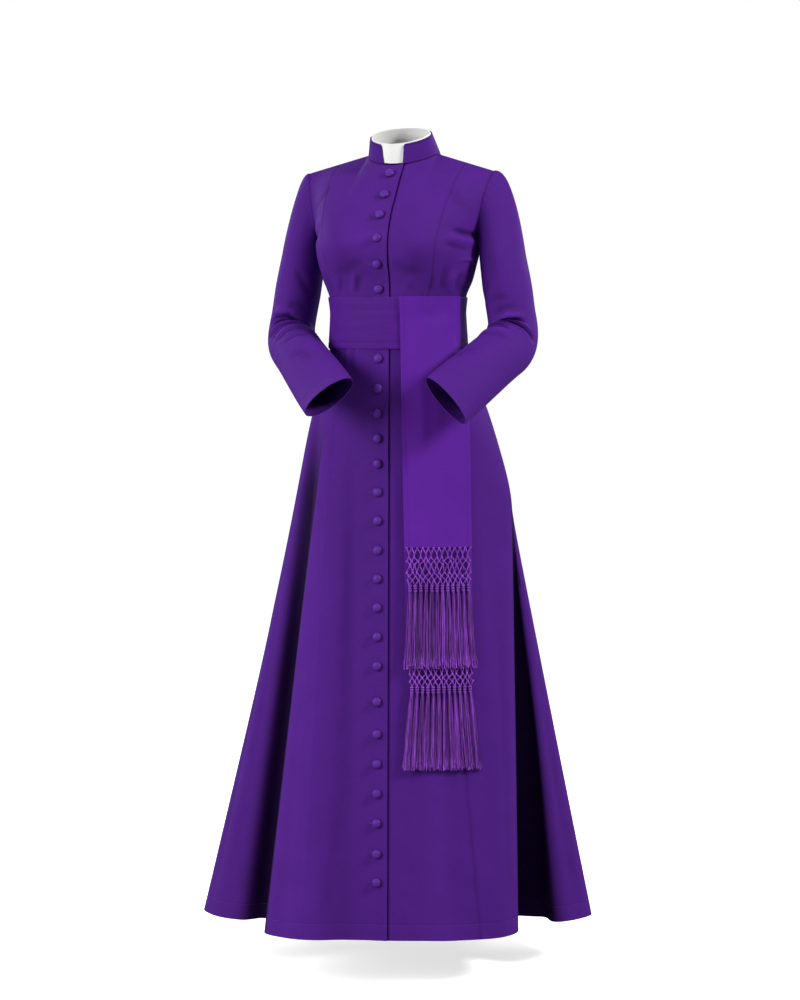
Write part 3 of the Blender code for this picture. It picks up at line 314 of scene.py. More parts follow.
# On a sleeve: along is the share of its path from the biceps ring, turn the angle from its outer side
# by the front, and the width and height are in millimetres.
SLEEVE_CREASES = {"left": [
    ([(0.328, 106), (0.309, 82), (0.317, 58), (0.350, 34)], 4.6, -7.5),
    ([(0.346, 108), (0.330, 80), (0.337, 56), (0.368, 26)], 4.4, 4.4),
    ([(0.374, 122), (0.350, 92), (0.346, 72), (0.374, 46)], 4.8, -9.0),
    ([(0.374, 76), (0.381, 46), (0.408, 4)], 5.0, -6.5),
    ([(0.392, 158), (0.372, 132), (0.360, 104)], 5.6, -8.0),
    ([(0.396, 124), (0.376, 92), (0.398, 52), (0.426, 14)], 5.0, 3.4),
    ([(0.420, 152), (0.400, 116), (0.402, 80)], 4.6, -4.4),
    ([(0.452, 156), (0.430, 112), (0.424, 68)], 4.6, -3.6),
    ([(0.500, 150), (0.476, 108), (0.462, 60)], 5.0, -3.0),
    ([(0.524, 146), (0.502, 104), (0.490, 58)], 6.0, 2.2),
    ([(0.556, 132), (0.538, 92), (0.530, 54)], 5.4, -2.6),
    ([(0.296, 112), (0.282, 76), (0.294, 40)], 7.0, 3.0),
    ([(0.262, 120), (0.248, 84), (0.256, 48)], 8.0, -2.2),
    ([(0.208, 128), (0.196, 96), (0.210, 64)], 9.0, -1.8),
    ([(0.10, 110), (0.16, 140), (0.20, 170)], 9.0, -2.0),
    ([(0.66, 84), (0.72, 108), (0.80, 124)], 10.0, -2.0),
    ([(0.36, 200), (0.38, 240), (0.36, 280)], 6.0, -2.6),
    ([(0.33, 210), (0.345, 250), (0.33, 290)], 6.0, 2.4),
    ([(0.43, 190), (0.45, 235), (0.44, 290)], 7.0, -2.0),
    ([(0.62, 220), (0.72, 250), (0.82, 265)], 12.0, -1.6),
], "right": [
    ([(0.342, 40), (0.303, 66), (0.298, 102), (0.320, 132)], 5.6, -9.0),
    ([(0.352, 44), (0.321, 78), (0.322, 112)], 4.6, 4.2),
    ([(0.368, 38), (0.338, 86), (0.344, 115), (0.362, 134)], 5.2, -8.5),
    ([(0.300, 104), (0.330, 134), (0.372, 160)], 6.5, -10.5),
    ([(0.276, 54), (0.268, 94), (0.280, 130)], 7.0, 3.0),
    ([(0.400, 26), (0.366, 70), (0.372, 112), (0.400, 150)], 5.0, 3.4),
    ([(0.420, 30), (0.396, 74), (0.402, 116), (0.430, 156)], 4.8, -4.4),
    ([(0.450, 36), (0.430, 86), (0.438, 138)], 4.8, -3.4),
    ([(0.474, 44), (0.456, 92), (0.464, 140)], 6.0, 2.4),
    ([(0.500, 50), (0.484, 98), (0.494, 144)], 5.0, -2.8),
    ([(0.560, 64), (0.548, 100), (0.560, 138)], 5.6, -2.2),
    ([(0.255, 90), (0.240, 126), (0.250, 160)], 8.0, -2.6),
    ([(0.08, 100), (0.14, 130), (0.19, 160)], 9.0, -2.0),
    ([(0.64, 64), (0.70, 88), (0.78, 100)], 10.0, -2.2),
    ([(0.35, 210), (0.37, 250), (0.355, 290)], 6.0, -2.6),
    ([(0.33, 220), (0.335, 255), (0.325, 300)], 6.0, 2.4),
    ([(0.44, 200), (0.46, 250), (0.45, 300)], 7.0, -2.0),
    ([(0.60, 215), (0.70, 240), (0.80, 260)], 12.0, -1.6),
]}

# On the skirt: fold is the place among the fold lines, with its share towards the next one. A fold
# that starts above the first height runs from the band, and one that ends below the second to the hem.
DRAPE_FROM_BAND = -380
DRAPE_TO_HEM = -1370
Drape = namedtuple("Drape", "fold_top z_top fold_low z_low width_top width_low height")
DRAPES = [Drape(*row) for row in (
    (26.95, -352, 26.98, -402, 4, 7, -3.6),
    (27.30, -352, 27.35, -396, 4, 7, 2.4),
    (26.30, -352, 26.38, -392, 4, 7, -3.0),
    (26.62, -352, 26.66, -410, 5, 9, 2.4),
    (25.70, -352, 25.80, -420, 5, 9, -2.7),
    (24.40, -352, 24.80, -440, 5, 10, -2.7),
    (25.20, -600, 25.25, -1410, 12, 22, 3.0),
    (26.10, -660, 26.20, -1400, 14, 24, -3.4),
    (26.98, -1180, 26.60, -1400, 9, 14, -2.6),
    (27.60, -700, 27.50, -1380, 16, 26, 2.0),
    (3.15, -640, 3.05, -1050, 8, 14, 2.6),
    (3.55, -700, 3.45, -1380, 10, 16, -2.4),
    (2.45, -900, 2.50, -1410, 12, 18, 2.4),
    (1.50, -1000, 1.55, -1420, 16, 26, -2.2),
    (6.50, -900, 6.55, -1410, 10, 22, -4.0),
    (21.45, -820, 21.50, -1410, 12, 26, -4.6),
    (22.50, -760, 22.45, -1400, 12, 22, -3.2),
    (7.50, -700, 7.45, -1380, 12, 26, -3.0),
    (9.40, -520, 9.45, -1300, 10, 24, -2.5),
    (12.50, -700, 12.45, -1200, 10, 22, 3.0),
    (14.40, -860, 14.55, -1410, 12, 26, -3.4),
    (16.50, -560, 16.45, -1120, 10, 20, 2.6),
    (18.50, -980, 18.55, -1410, 14, 26, -3.4),
    (20.50, -700, 20.45, -1400, 12, 24, 2.6),
    (25.75, -480, 25.85, -1560, 16, 36, 9.0),
    (27.15, -440, 27.10, -1560, 12, 30, -8.5),
    (1.30, -980, 1.25, -1560, 16, 34, 5.0),
    (5.62, -620, 5.55, -1560, 12, 30, -20.0),
    (23.85, -560, 23.75, -1560, 12, 26, -16.0),
    (10.50, -360, 10.45, -470, 5, 10, -3.0),
    (13.00, -360, 12.90, -490, 5, 11, -3.3),
    (15.50, -360, 15.55, -450, 5, 9, -2.7),
    (18.00, -360, 18.10, -480, 5, 10, -3.3),
    (20.50, -360, 20.60, -450, 5, 9, -2.4),
)]

# ---------------------------------------------------------------- curves


def unit(vectors):
    vectors = np.asarray(vectors, float)
    return vectors / np.maximum(np.linalg.norm(vectors, axis=-1, keepdims=True), 1e-12)


def hermite(p0, p1, t0, t1, u):
    """Points at the values u on the cubic from p0 to p1 with end tangents t0 and t1."""
    u = np.asarray(u, float)[:, None]
    return (
        (2 * u**3 - 3 * u**2 + 1) * p0
        + (u**3 - 2 * u**2 + u) * t0
        + (3 * u**2 - 2 * u**3) * p1
        + (u**3 - u**2) * t1
    )


def spline_at(points, where):
    """Catmull-Rom through points, read at the index value where."""
    points = np.asarray(points, float)
    last = len(points) - 1
    i = min(int(where), last - 1)
    u = where - i
    p1, p2 = points[i], points[i + 1]
    p0 = points[i - 1] if i > 0 else 2 * p1 - p2
    p3 = points[i + 2] if i + 2 <= last else 2 * p2 - p1
    return 0.5 * (
        2 * p1 + (p2 - p0) * u + (2 * p0 - 5 * p1 + 4 * p2 - p3) * u**2
        + (3 * p1 - p0 - 3 * p2 + p3) * u**3
    )


def ring_through(points, shares):
    """A closed centripetal Catmull-Rom curve, read at shares[i] from point i to the next."""
    points = np.asarray(points, float)
    count = len(points)
    out = []
    for i in range(count):
        p = [points[(i + k) % count] for k in (-1, 0, 1, 2)]
        knots = [0.0]
        for a, b in zip(p, p[1:]):
            knots.append(knots[-1] + max(np.linalg.norm(b - a), 1e-6) ** 0.5)
        pyramid = (knots[:3], knots[1:]), (knots[:2], knots[2:]), (knots[1:2], knots[2:3])
        for share in shares[i]:
            t = mix(knots[1], knots[2], share)
            line = p
            for first, last in pyramid:
                line = [((b - t) * p0 + (t - a) * p1) / (b - a)
                        for a, b, p0, p1 in zip(first, last, line, line[1:])]
            out.append(line[0])
    return np.array(out)


def mix(first, last, share):
    """The value at a share of the way from the first to the last."""
    return first + (last - first) * share


def bell(distance, width):
    """1 at no distance, falling to about a third at the width."""
    return np.exp(-((distance / width) ** 2))


def smooth_step(x):
    x = np.clip(x, 0.0, 1.0)
    return x * x * (3 - 2 * x)


STROKE_FADE = 0.3  # the share of a stroke over which it rises from each end
STROKE_END = 0.12  # the share of its height that it has at its ends


def stroke(across, along, path, width, height):
    """The height of a crease that follows a path, at points (across, along) in millimetres."""
    path = np.asarray(path, float)
    lengths = np.linalg.norm(np.diff(path, axis=0), axis=1)
    total, run = lengths.sum(), 0.0
    nearest = np.full(across.shape, 1e9)
    place = np.zeros(across.shape)
    for a, b, length in zip(path, path[1:], lengths):
        d = (b - a) / length
        t = np.clip((across - a[0]) * d[0] + (along - a[1]) * d[1], 0, length)
        away = np.hypot(across - a[0] - d[0] * t, along - a[1] - d[1] * t)
        place = np.where(away < nearest, (run + t) / total, place)
        nearest = np.minimum(away, nearest)
        run += length
    ends = smooth_step(place / STROKE_FADE) * smooth_step((1 - place) / STROKE_FADE)
    return height * bell(nearest, width) * (STROKE_END + (1 - STROKE_END) * ends)


def stroke_round(turn, along, degree, path, width, height):
    """A stroke on a tube, whose path is in degrees round it, each so many millimetres long."""
    path = np.array(path, float)
    middle = path[:, 0].mean()
    around = (turn - middle + 180) % 360 - 180 + middle
    path[:, 0] *= degree
    return stroke(np.broadcast_to(around * degree, along.shape), along, path, width, height)


# ---------------------------------------------------------------- bodice surface


def neck_ring(size, degrees):
    """A point of a neck oval, from 0 at the front by the wearer's left."""
    a = math.radians(degrees)
    depth = size["front"] if math.cos(a) > 0 else size["back"]
    return np.array([
        size["half_width"] * math.sin(a),
        size["centre_y"] - depth * math.cos(a),
        size["mean_z"] + size["tilt"] * math.cos(a) + size["dip"] * math.cos(2 * a),
    ])


def seam_points(level):
    """The seam points of one level of the bodice, on the wearer's left."""
    (cf_y, cf_z, fp_x, fp_y, fp_z, sf_x, sf_y, sf_z, sf_turn,
     sb_x, sb_y, sb_z, sb_turn, bp_x, bp_y, bp_z, cb_y, cb_z) = level
    points = np.array([
        (0, cf_y, cf_z), (fp_x, fp_y, fp_z), (sf_x, sf_y, sf_z),
        (sb_x, sb_y, sb_z), (bp_x, bp_y, bp_z), (0, cb_y, cb_z),
    ], float)
    return points, sf_turn, sb_turn


def between(before, point, after):
    """The direction in which a row passes through a point."""
    return unit(unit(point - before) + unit(after - point))


def turned(degrees, slope):
    a = math.radians(degrees)
    return unit(np.array([math.cos(a), math.sin(a), slope]))


def across(p0, p1, d0, d1, u):
    """A row's stretch between two seams, leaving along d0 and arriving along d1."""
    length = np.linalg.norm(p1 - p0)
    return hermite(p0, p1, d0 * length, d1 * length, u)


def lap_share(p0, p1, d0, d1):
    """The share of the first stretch at which it is LAP from the centre."""
    low, high = 0.0, 0.6
    for _ in range(24):
        middle = (low + high) / 2
        if across(p0, p1, d0, d1, [middle])[0, 0] < LAP:
            low = middle
        else:
            high = middle
    return low


def shoulder_line(x):
    """The point of the shoulder seam at x."""
    top = BODICE[-1]
    near, far = np.array(SHOULDER_NECK, float), np.array([top.sf_x, top.sf_y, top.sf_z], float)
    return near + (far - near) * (x - near[0]) / (far[0] - near[0])


# Shares of a row's stretches at which it has columns. The close ones lie on either side of a seam.
LAP_COLUMNS = 4
LAP_EDGE_GAPS = (0.012, 0.025, 0.045)
LAP_CLEAR = 0.08
FRONT_SHARES = np.round([*np.arange(0.33, 0.97, 0.03), 0.98, 0.991, 1.0], 4)
SIDE_SHARES = np.round([0, 0.012, 0.03, *np.linspace(0.065, 0.935, 22), 0.97, 0.988, 1.0], 4)
BACK_SHARES = np.round([0, 0.012, 0.03, 0.07, 0.115, 0.16, 0.205, *np.linspace(0.25, 1.0, 22)], 4)


def neckline_front(shares, lap):
    """The front's top edge: the neckline to the shoulder seam's neck point, then the seam."""
    lap_angle = math.degrees(math.asin(LAP / NECK["half_width"]))
    angles = np.interp(shares, (0, lap, 0.36, 0.48, 0.60), (0, lap_angle, 38, 60, 90))
    xs = np.interp(shares, (0.60, 1.0), (SHOULDER_NECK[0], BODICE[-1].fp_x))
    return np.array([
        neck_ring(NECK, a) if s <= 0.60 else shoulder_line(x) for s, a, x in zip(shares, angles, xs)
    ])


def neckline_back():
    """The back's top edge: the shoulder seam, then the neckline to the centre back."""
    angles = np.interp(BACK_SHARES, (0.25, 0.5, 0.75, 1.0), (90, 120, 150, 180))
    xs = np.interp(BACK_SHARES, (0, 0.25), (BODICE[-1].bp_x, SHOULDER_NECK[0]))
    return np.array([
        neck_ring(NECK, a) if s >= 0.25 else shoulder_line(x)
        for s, a, x in zip(BACK_SHARES, angles, xs)
    ])


def stretches(points, turns, shares):
    """A row's four stretches between its seams: front, side front, side back and back."""
    cf, fp, sf, sb, bp, cb = points
    ahead = np.array([1.0, 0, 0])
    d_fp, d_bp = between(cf, fp, sf), between(sb, bp, cb)
    slopes = [(q - p)[2] / np.linalg.norm((q - p)[:2]) for p, q in ((fp, sf), (sb, bp))]
    d_sf, d_sb = (turned(degrees, slope) for degrees, slope in zip(turns, slopes))
    return [
        across(cf, fp, ahead, d_fp, shares),
        across(fp, sf, d_fp, d_sf, SIDE_SHARES),
        across(sb, bp, d_sb, d_bp, SIDE_SHARES),
        across(bp, cb, d_bp, -ahead, BACK_SHARES),
    ]


def top_edges(points, shares, lap):
    """Where the same stretches lie on the bodice's top edge: the neckline and the shoulder seam."""
    _, fp, sf, sb, bp, _ = points
    seams = [np.array([shoulder_line(mix(p[0], q[0], s)) for s in SIDE_SHARES])
             for p, q in ((fp, sf), (sb, bp))]
    return [neckline_front(shares, lap), *seams, neckline_back()]


@cache
def half_row(where):
    """One row of the bodice on the wearer's left, in its four stretches."""
    points, *turns = seam_points(spline_at(np.array([row[1:] for row in BODICE], float), where))
    if where < UNDERARM:
        points[2] = points[3] = (points[2] + points[3]) / 2
    cf, fp, sf = points[:3]
    lap = lap_share(cf, fp, np.array([1.0, 0, 0]), between(cf, fp, sf))
    beside = [lap + gap for gap in LAP_EDGE_GAPS]
    first = min(FRONT_SHARES[0], lap + LAP_CLEAR)
    shares = np.array([*np.linspace(0, lap, LAP_COLUMNS), *beside, first, *FRONT_SHARES[1:]])
    row = stretches(points, turns, shares)
    rest = len(BODICE) - 1 - where
    neck = max(0.0, 1 - rest / NECK_REACH) ** 2
    shoulder = max(0.0, 1 - rest / SHOULDER_REACH) ** 2
    if neck:
        top, *turns = seam_points(BODICE[-1][1:])
        level, wanted = stretches(top, turns, shares), top_edges(top, shares, lap)
        shaped = zip(row, (neck, shoulder, shoulder, neck), wanted, level)
        row = [part + fade * (edge - straight) for part, fade, edge, straight in shaped]
    return [with_bust(part) for part in row]


def with_bust(points):
    """The ease that the darts and princess seams give over the bust."""
    points = points.copy()
    wide = (points[:, 0] - BUST["x"]) / BUST["half_width"]
    high = (points[:, 2] - BUST["z"]) / BUST["half_height"]
    points[:, 1] -= BUST["rise"] * np.exp(-(wide**2) - high**2) * (points[:, 1] < 0)
    return points


def mirrored(points):
    return points * np.array([-1.0, 1.0, 1.0])


BODICE_WHERES = [*np.linspace(0, UNDERARM, 56), *np.linspace(UNDERARM, len(BODICE) - 1, 65)[1:]]


# ---------------------------------------------------------------- skirt surface


def smooth_between(x, xs, ys):
    """A smooth curve through points whose xs fall, read at x."""
    xs, ys = np.asarray(xs, float), np.asarray(ys, float)
    k = int(np.clip(np.searchsorted(-xs, -x) - 1, 0, len(xs) - 2))
    slopes = np.gradient(ys, xs)
    width = xs[k + 1] - xs[k]
    u = (x - xs[k]) / width
    ends = np.array([[ys[k]], [ys[k + 1]], [slopes[k] * width], [slopes[k + 1] * width]])
    return float(hermite(*ends, [u])[0, 0])


def hip_oval(z, degrees):
    """A point of the smooth oval at height z, from 0 at the front by the left."""
    z_in = max(z, HIPS[-1].z)
    heights = [oval.z for oval in HIPS]
    half_width, front_y, back_y, centre_y = (
        smooth_between(z_in, heights, [oval[k] for oval in HIPS]) for k in range(1, 5)
    )
    a = math.radians(degrees)
    depth = centre_y - front_y if math.cos(a) > 0 else back_y - centre_y
    return np.array([half_width * math.sin(a), centre_y - depth * math.cos(a), z])


def fold_point(fold, z):
    """Where a fold line is at height z: on the oval above its start, then straight to its hem point."""
    start_z = WAIST_Z + (HEM_Z - WAIST_Z) * fold.start
    if z >= start_z and fold.start:
        return hip_oval(z, fold.waist)
    a = math.radians(SKIRT_TURN)
    x, y = fold.across, fold.depth
    hem = np.array([x * math.cos(a) - y * math.sin(a), x * math.sin(a) + y * math.cos(a), HEM_Z])
    top = hip_oval(start_z, fold.waist)
    return top + (hem - top) * (z - start_z) / (HEM_Z - start_z)


def fold_shares():
    """For each fold line, the shares towards the next one at which the skirt has columns."""
    out = []
    for fold, after in zip(FOLDS, FOLDS[1:] + FOLDS[:1]):
        shares = list(np.arange(fold.steps) / fold.steps)
        if fold.name == "lap_left":
            shares[1:1] = [0.03, 0.07, 0.12]
        if fold.seam:
            shares.insert(1, 0.025)
        if after.seam:
            shares.append(0.975)
        out.append(shares)
    return out


def skirt_surface():
    """The skirt's rows of points, with the fold value of each column and the heights of the rows."""
    shares = fold_shares()
    count = int(round((WAIST_Z - HEM_Z) / SKIRT_ROW))
    even = np.linspace(WAIST_Z, HEM_Z, count + 1)
    rows = np.array([ring_through([fold_point(f, z) for f in FOLDS], shares) for z in even])
    for _ in range(SKIRT_ROUNDS):
        rows[1:-1, :, :2] += (rows[:-2, :, :2] + rows[2:, :, :2] - 2 * rows[1:-1, :, :2]) / 4
    near_hem = [HEM_Z + HEM_DEPTH + d for d in (4, 1.6, 0.8, 0, -0.8, -1.6, -4)]
    kept = [z for z in even if min(abs(z - near_hem[0]), abs(z - near_hem[-1])) > 3
            and not near_hem[-1] < z < near_hem[0]]
    heights = np.array(sorted([*kept, *near_hem], reverse=True))
    rows = np.array([spline_at(rows, (WAIST_Z - z) / (even[0] - even[1])) for z in heights])
    rows[..., 2] = heights[:, None]
    values = np.array([i + s for i, stretch in enumerate(shares) for s in stretch])
    return rows, values, heights


SKIRT, FOLD_VALUES, SKIRT_HEIGHTS = skirt_surface()


def drape_heights(rows, values, heights):
    """The height of the soft folds over each point of the skirt."""
    gaps = np.linalg.norm(np.roll(rows, -1, axis=1) - rows, axis=2)
    run = np.cumsum(gaps, axis=1) - gaps
    out = np.zeros(rows.shape[:2])
    for drape in DRAPES:
        along = (drape.z_top - heights) / (drape.z_top - drape.z_low)
        fold = mix(drape.fold_top, drape.fold_low, np.clip(along, 0, 1))
        width = mix(drape.width_top, drape.width_low, np.clip(along, 0, 1))
        middle = np.array([np.interp(f, np.append(values, len(FOLDS)), np.append(r, r[-1] + g[-1]))
                           for f, r, g in zip(fold, run, gaps)])
        reach = bell(run - middle[:, None], width[:, None])
        # A fold fades at its ends, but stays open where it meets the band or the hem
        top_end = smooth_step((along + 0.02) / 0.25 if drape.z_top > DRAPE_FROM_BAND else along / 0.4)
        low_end = smooth_step((1.12 - along) / 0.3 if drape.z_low < DRAPE_TO_HEM else (1 - along) / 0.4)
        out += drape.height * reach * (top_end * low_end)[:, None]
    return out


# ---------------------------------------------------------------- sleeve surface


def armhole(side):
    """The armhole's points from the shoulder by the front to the underarm and up the back."""
    rows = [half_row(where) for where in BODICE_WHERES if where >= UNDERARM]
    front = [row[1][-1] for row in rows][::-1]
    back = [row[2][0] for row in rows]
    loop = np.array(front + back[1:-1])
    return loop if side == "left" else mirrored(loop)


def arm_path(arm):
    """A function from the share of the sleeve's path to its middle point and tangent."""
    a, b, c = (np.array(p, float) for p in (arm.biceps, arm.elbow, arm.cuff))
    down, out = unit(b - a), unit(c - b)
    bend = math.acos(float(down @ out))
    cut = ELBOW_RADIUS * math.tan(bend / 2)
    first, last = b - down * cut, b + out * cut
    inward = unit(out - down * float(down @ out))
    centre = first + inward * ELBOW_RADIUS
    arc = ELBOW_RADIUS * bend
    straight = np.linalg.norm(first - a)
    total = straight + arc + np.linalg.norm(c - last)

    def at(share):
        s = share * total
        if s <= straight:
            return a + down * s, down
        if s <= straight + arc:
            turn = (s - straight) / ELBOW_RADIUS
            radial = first - centre
            point = centre + radial * math.cos(turn) + down * ELBOW_RADIUS * math.sin(turn)
            return point, unit(down * math.cos(turn) + inward * math.sin(turn))
        return last + out * (s - straight - arc), out

    return at, total


def fallen_flat(spokes, tangent, side, share):
    """The spokes of one ring of a sleeve, flattened towards the cuff."""
    near = float(smooth_step((share - CUFF_FROM) / (1 - CUFF_FROM)))
    closed = unit(np.array(CUFF_CLOSED[side]) - tangent * float(tangent @ np.array(CUFF_CLOSED[side])))
    wide = np.cross(tangent, closed)
    a, b = spokes @ wide, spokes @ closed
    a, b = a * (1 + (CUFF_FLAT[0] - 1) * near), b * (1 + (CUFF_FLAT[1] - 1) * near)
    back = near * (CUFF_SHIFT - CUFF_SLANT * b)
    return np.outer(a, wide) + np.outer(b, closed) + np.outer(back, tangent)


def sleeve_surface(arm):
    """The sleeve's rings, from the armhole to the cuff, and the share of the path of each."""
    loop = armhole(arm.side)
    sign = 1.0 if arm.side == "left" else -1.0
    count = len(loop)
    at, total = arm_path(arm)
    table = np.array([[s.along, s.across, s.depth] for s in SLEEVE])
    _, tangent = at(0.0)
    outward = unit(np.array([sign, 0, 0]) - tangent * float(tangent[0] * sign))
    angles = 2 * math.pi * np.arange(count) / count
    rings, shares = [], np.linspace(0, 1, SLEEVE_RINGS + 1)
    for share in shares:
        point, tangent = at(share)
        outward = unit(outward - tangent * float(tangent @ outward))
        ahead = np.cross(tangent, outward) * sign
        half, depth = (
            smooth_between(-share, -table[:, 0], table[:, k]) * arm.girth for k in (1, 2)
        )
        spokes = np.outer(np.cos(angles) * half, outward) + np.outer(np.sin(angles) * depth, ahead)
        rings.append(point + fallen_flat(spokes, tangent, arm.side, share))
    # The head stands up most at the shoulder and least at the underarm
    high = 0.5 + 0.5 * np.cos(angles)
    lift = CAP_LIFT + arm.puff * high**2
    pull = np.stack([sign * lift, 0 * lift, (0.5 * high**2 - 0.25) * lift], axis=1)
    _, down = at(0.0)
    drop = np.outer(CAP_DROP * (0.35 + high), down)
    start = loop - np.array([sign, 0, -0.12]) * HEAD_TUCK
    places = np.linspace(0, 1, CAP_ROWS, endpoint=False) ** 1.25
    head = [hermite(start, rings[0], pull, drop, [u]) for u in places]
    before = -np.linspace(CAP_SHARE, 0, CAP_ROWS, endpoint=False)
    return np.array(head + rings), np.concatenate([before, shares]), np.degrees(angles), total


# ---------------------------------------------------------------- what lies on the garment


def polar(ring, angles):
    """The distances of a ring from the waist's centre, at angles from the front by the left."""
    x, y = ring[:, 0], ring[:, 1] - BODICE[0].sf_y
    around = np.arctan2(x, -y)
    order = np.argsort(around)
    return np.interp(angles, around[order], np.hypot(x, y)[order], period=2 * math.pi)


def bodice_ring(z):
    parts = half_row(float(np.interp(z, [BODICE[0].cf_z, BODICE[1].cf_z], [0, 1])))
    half = np.concatenate([parts[0], parts[1][1:], parts[2][1:], parts[3][1:]])
    return np.concatenate([half, mirrored(half)[-2:0:-1]])


def skirt_ring_at(z):
    """The skirt's ring at height z, from the centre front."""
    k = int(np.clip(np.searchsorted(-SKIRT_HEIGHTS, -z) - 1, 0, len(SKIRT_HEIGHTS) - 2))
    u = (z - SKIRT_HEIGHTS[k]) / (SKIRT_HEIGHTS[k + 1] - SKIRT_HEIGHTS[k])
    first = int(np.searchsorted(FOLD_VALUES, len(FOLDS) - 1))
    return np.roll(mix(SKIRT[k], SKIRT[k + 1], u), -first, axis=0)


def body_ring(z):
    """The outermost cloth at height z, as a closed ring from the centre front."""
    if z < BAND_BOTTOM - 1:
        return skirt_ring_at(z)
    angles = np.linspace(0, 2 * math.pi, BAND_COLUMNS, endpoint=False)
    if z > WAIST_Z + 8:
        reach = polar(bodice_ring(z), angles)
    else:
        skirt_reach = polar(skirt_ring_at(min(z, WAIST_Z)), angles)
        reach = np.maximum(polar(bodice_ring(WAIST_Z), angles), skirt_reach)
    x, y = reach * np.sin(angles), BODICE[0].sf_y - reach * np.cos(angles)
    return np.stack([x, y, np.full(len(angles), float(z))], axis=1)


def flat_normals(ring):
    tangent = np.roll(ring, -1, axis=0) - np.roll(ring, 1, axis=0)
    return unit(np.stack([tangent[:, 1], -tangent[:, 0], 0 * tangent[:, 0]], axis=1))


def laid(z, distances, lift):
    """Points at height z, at distances round the left front from the end's inner edge, moved out."""
    ring = body_ring(z)
    half = len(ring) // 2
    run = np.concatenate([[0], np.cumsum(np.linalg.norm(np.diff(ring[:half], axis=0), axis=1))])
    start = END_START_WAIST + END_START_DROP * max(0.0, BAND_TOP - z)
    near = int(np.argmax(ring[:half, 0] > 90))
    places = np.interp(start, ring[:near, 0], run[:near]) + np.asarray(distances, float)
    line = np.stack([np.interp(places, run, ring[:half, k]) for k in range(3)], axis=1)
    normals = flat_normals(ring)[:half]
    normal = np.stack([np.interp(places, run, normals[:, k]) for k in range(3)], axis=1)
    return line + unit(normal) * np.reshape(lift, (-1, 1) if np.ndim(lift) else ())


# ---------------------------------------------------------------- cloth meshes

Patch = namedtuple("Patch", "grid lift tone")
WELD = 0.02  # points closer than this are one
CLOTH_SHARP = 62  # degrees over which an edge of each kind of mesh looks sharp
GROWN_SHARP = 70
JOINED_SHARP = 75
BUTTON_SHARP = 50
TONE = "tone"  # the attribute that darkens and lightens the base colour: painted shade in seams, pleats and hollows, painted light on ridges and crowns, and the threads' random tones
RIDGE_PAINTED_LIGHT_MOST = 0.13


def run_along(grid, axis):
    """The distance along the cloth from the grid's first row or column."""
    steps = np.linalg.norm(np.diff(grid, axis=axis), axis=2)
    zero = np.zeros_like(np.take(steps, [0], axis=axis))
    return np.concatenate([zero, np.cumsum(steps, axis=axis)], axis=axis)


def groove(grid, columns, depth=0.75, width=1.5):
    """The dip of the seams that follow columns of the grid."""
    run = run_along(grid, 1)
    return -depth * sum(bell(run - run[:, [c]], width) for c in columns)


def seam_painted_shade(grid, columns, depth=0.45, width=1.5):
    """How deep the dye looks along the seams that follow columns: 1 on the open cloth."""
    run = run_along(grid, 1)
    return 1 - depth * np.max([bell(run - run[:, [c]], width) for c in columns], axis=0)


def painted_fold_shading(lift, share, most):
    """The dye looks deeper in a hollow and paler on a ridge, by this share a millimetre, up to most."""
    return 1 + np.clip(lift * share, -most, RIDGE_PAINTED_LIGHT_MOST)


def edge_lift(grid, column, height, reach):
    """The rise of a free edge, which fades over reach."""
    run = run_along(grid, 1)
    return height * np.exp(-np.abs(run - run[:, [column]]) / reach)


def cut_of(patches):
    """The width, length and area in metres of the cloth that the patches are cut from."""
    width = sum(run_along(p.grid, 1)[:, -1].max() for p in patches)
    length = max(run_along(p.grid, 0)[-1].max() for p in patches)
    area = 0.0
    for patch in patches:
        a, b, c, d = np.moveaxis(corners_of(patch.grid), 2, 0)
        area += np.linalg.norm(np.cross(c - a, d - b), axis=2).sum() / 2
    return width * MM, length * MM, area * MM * MM


def point_normals(points, faces):
    corners = points[faces]
    face_normals = np.cross(corners[:, 2] - corners[:, 0], corners[:, 3] - corners[:, 1])
    normals = np.zeros_like(points)
    for k in range(4):
        np.add.at(normals, faces[:, k], face_normals)
    return unit(normals)


def corners_of(grid):
    """The values at the four corners of each of the grid's faces."""
    rows, columns = grid.shape[:2]
    corners = ((0, 0), (0, 1), (1, 1), (1, 0))
    return np.stack([grid[a:rows - 1 + a, b:columns - 1 + b] for a, b in corners], axis=2)


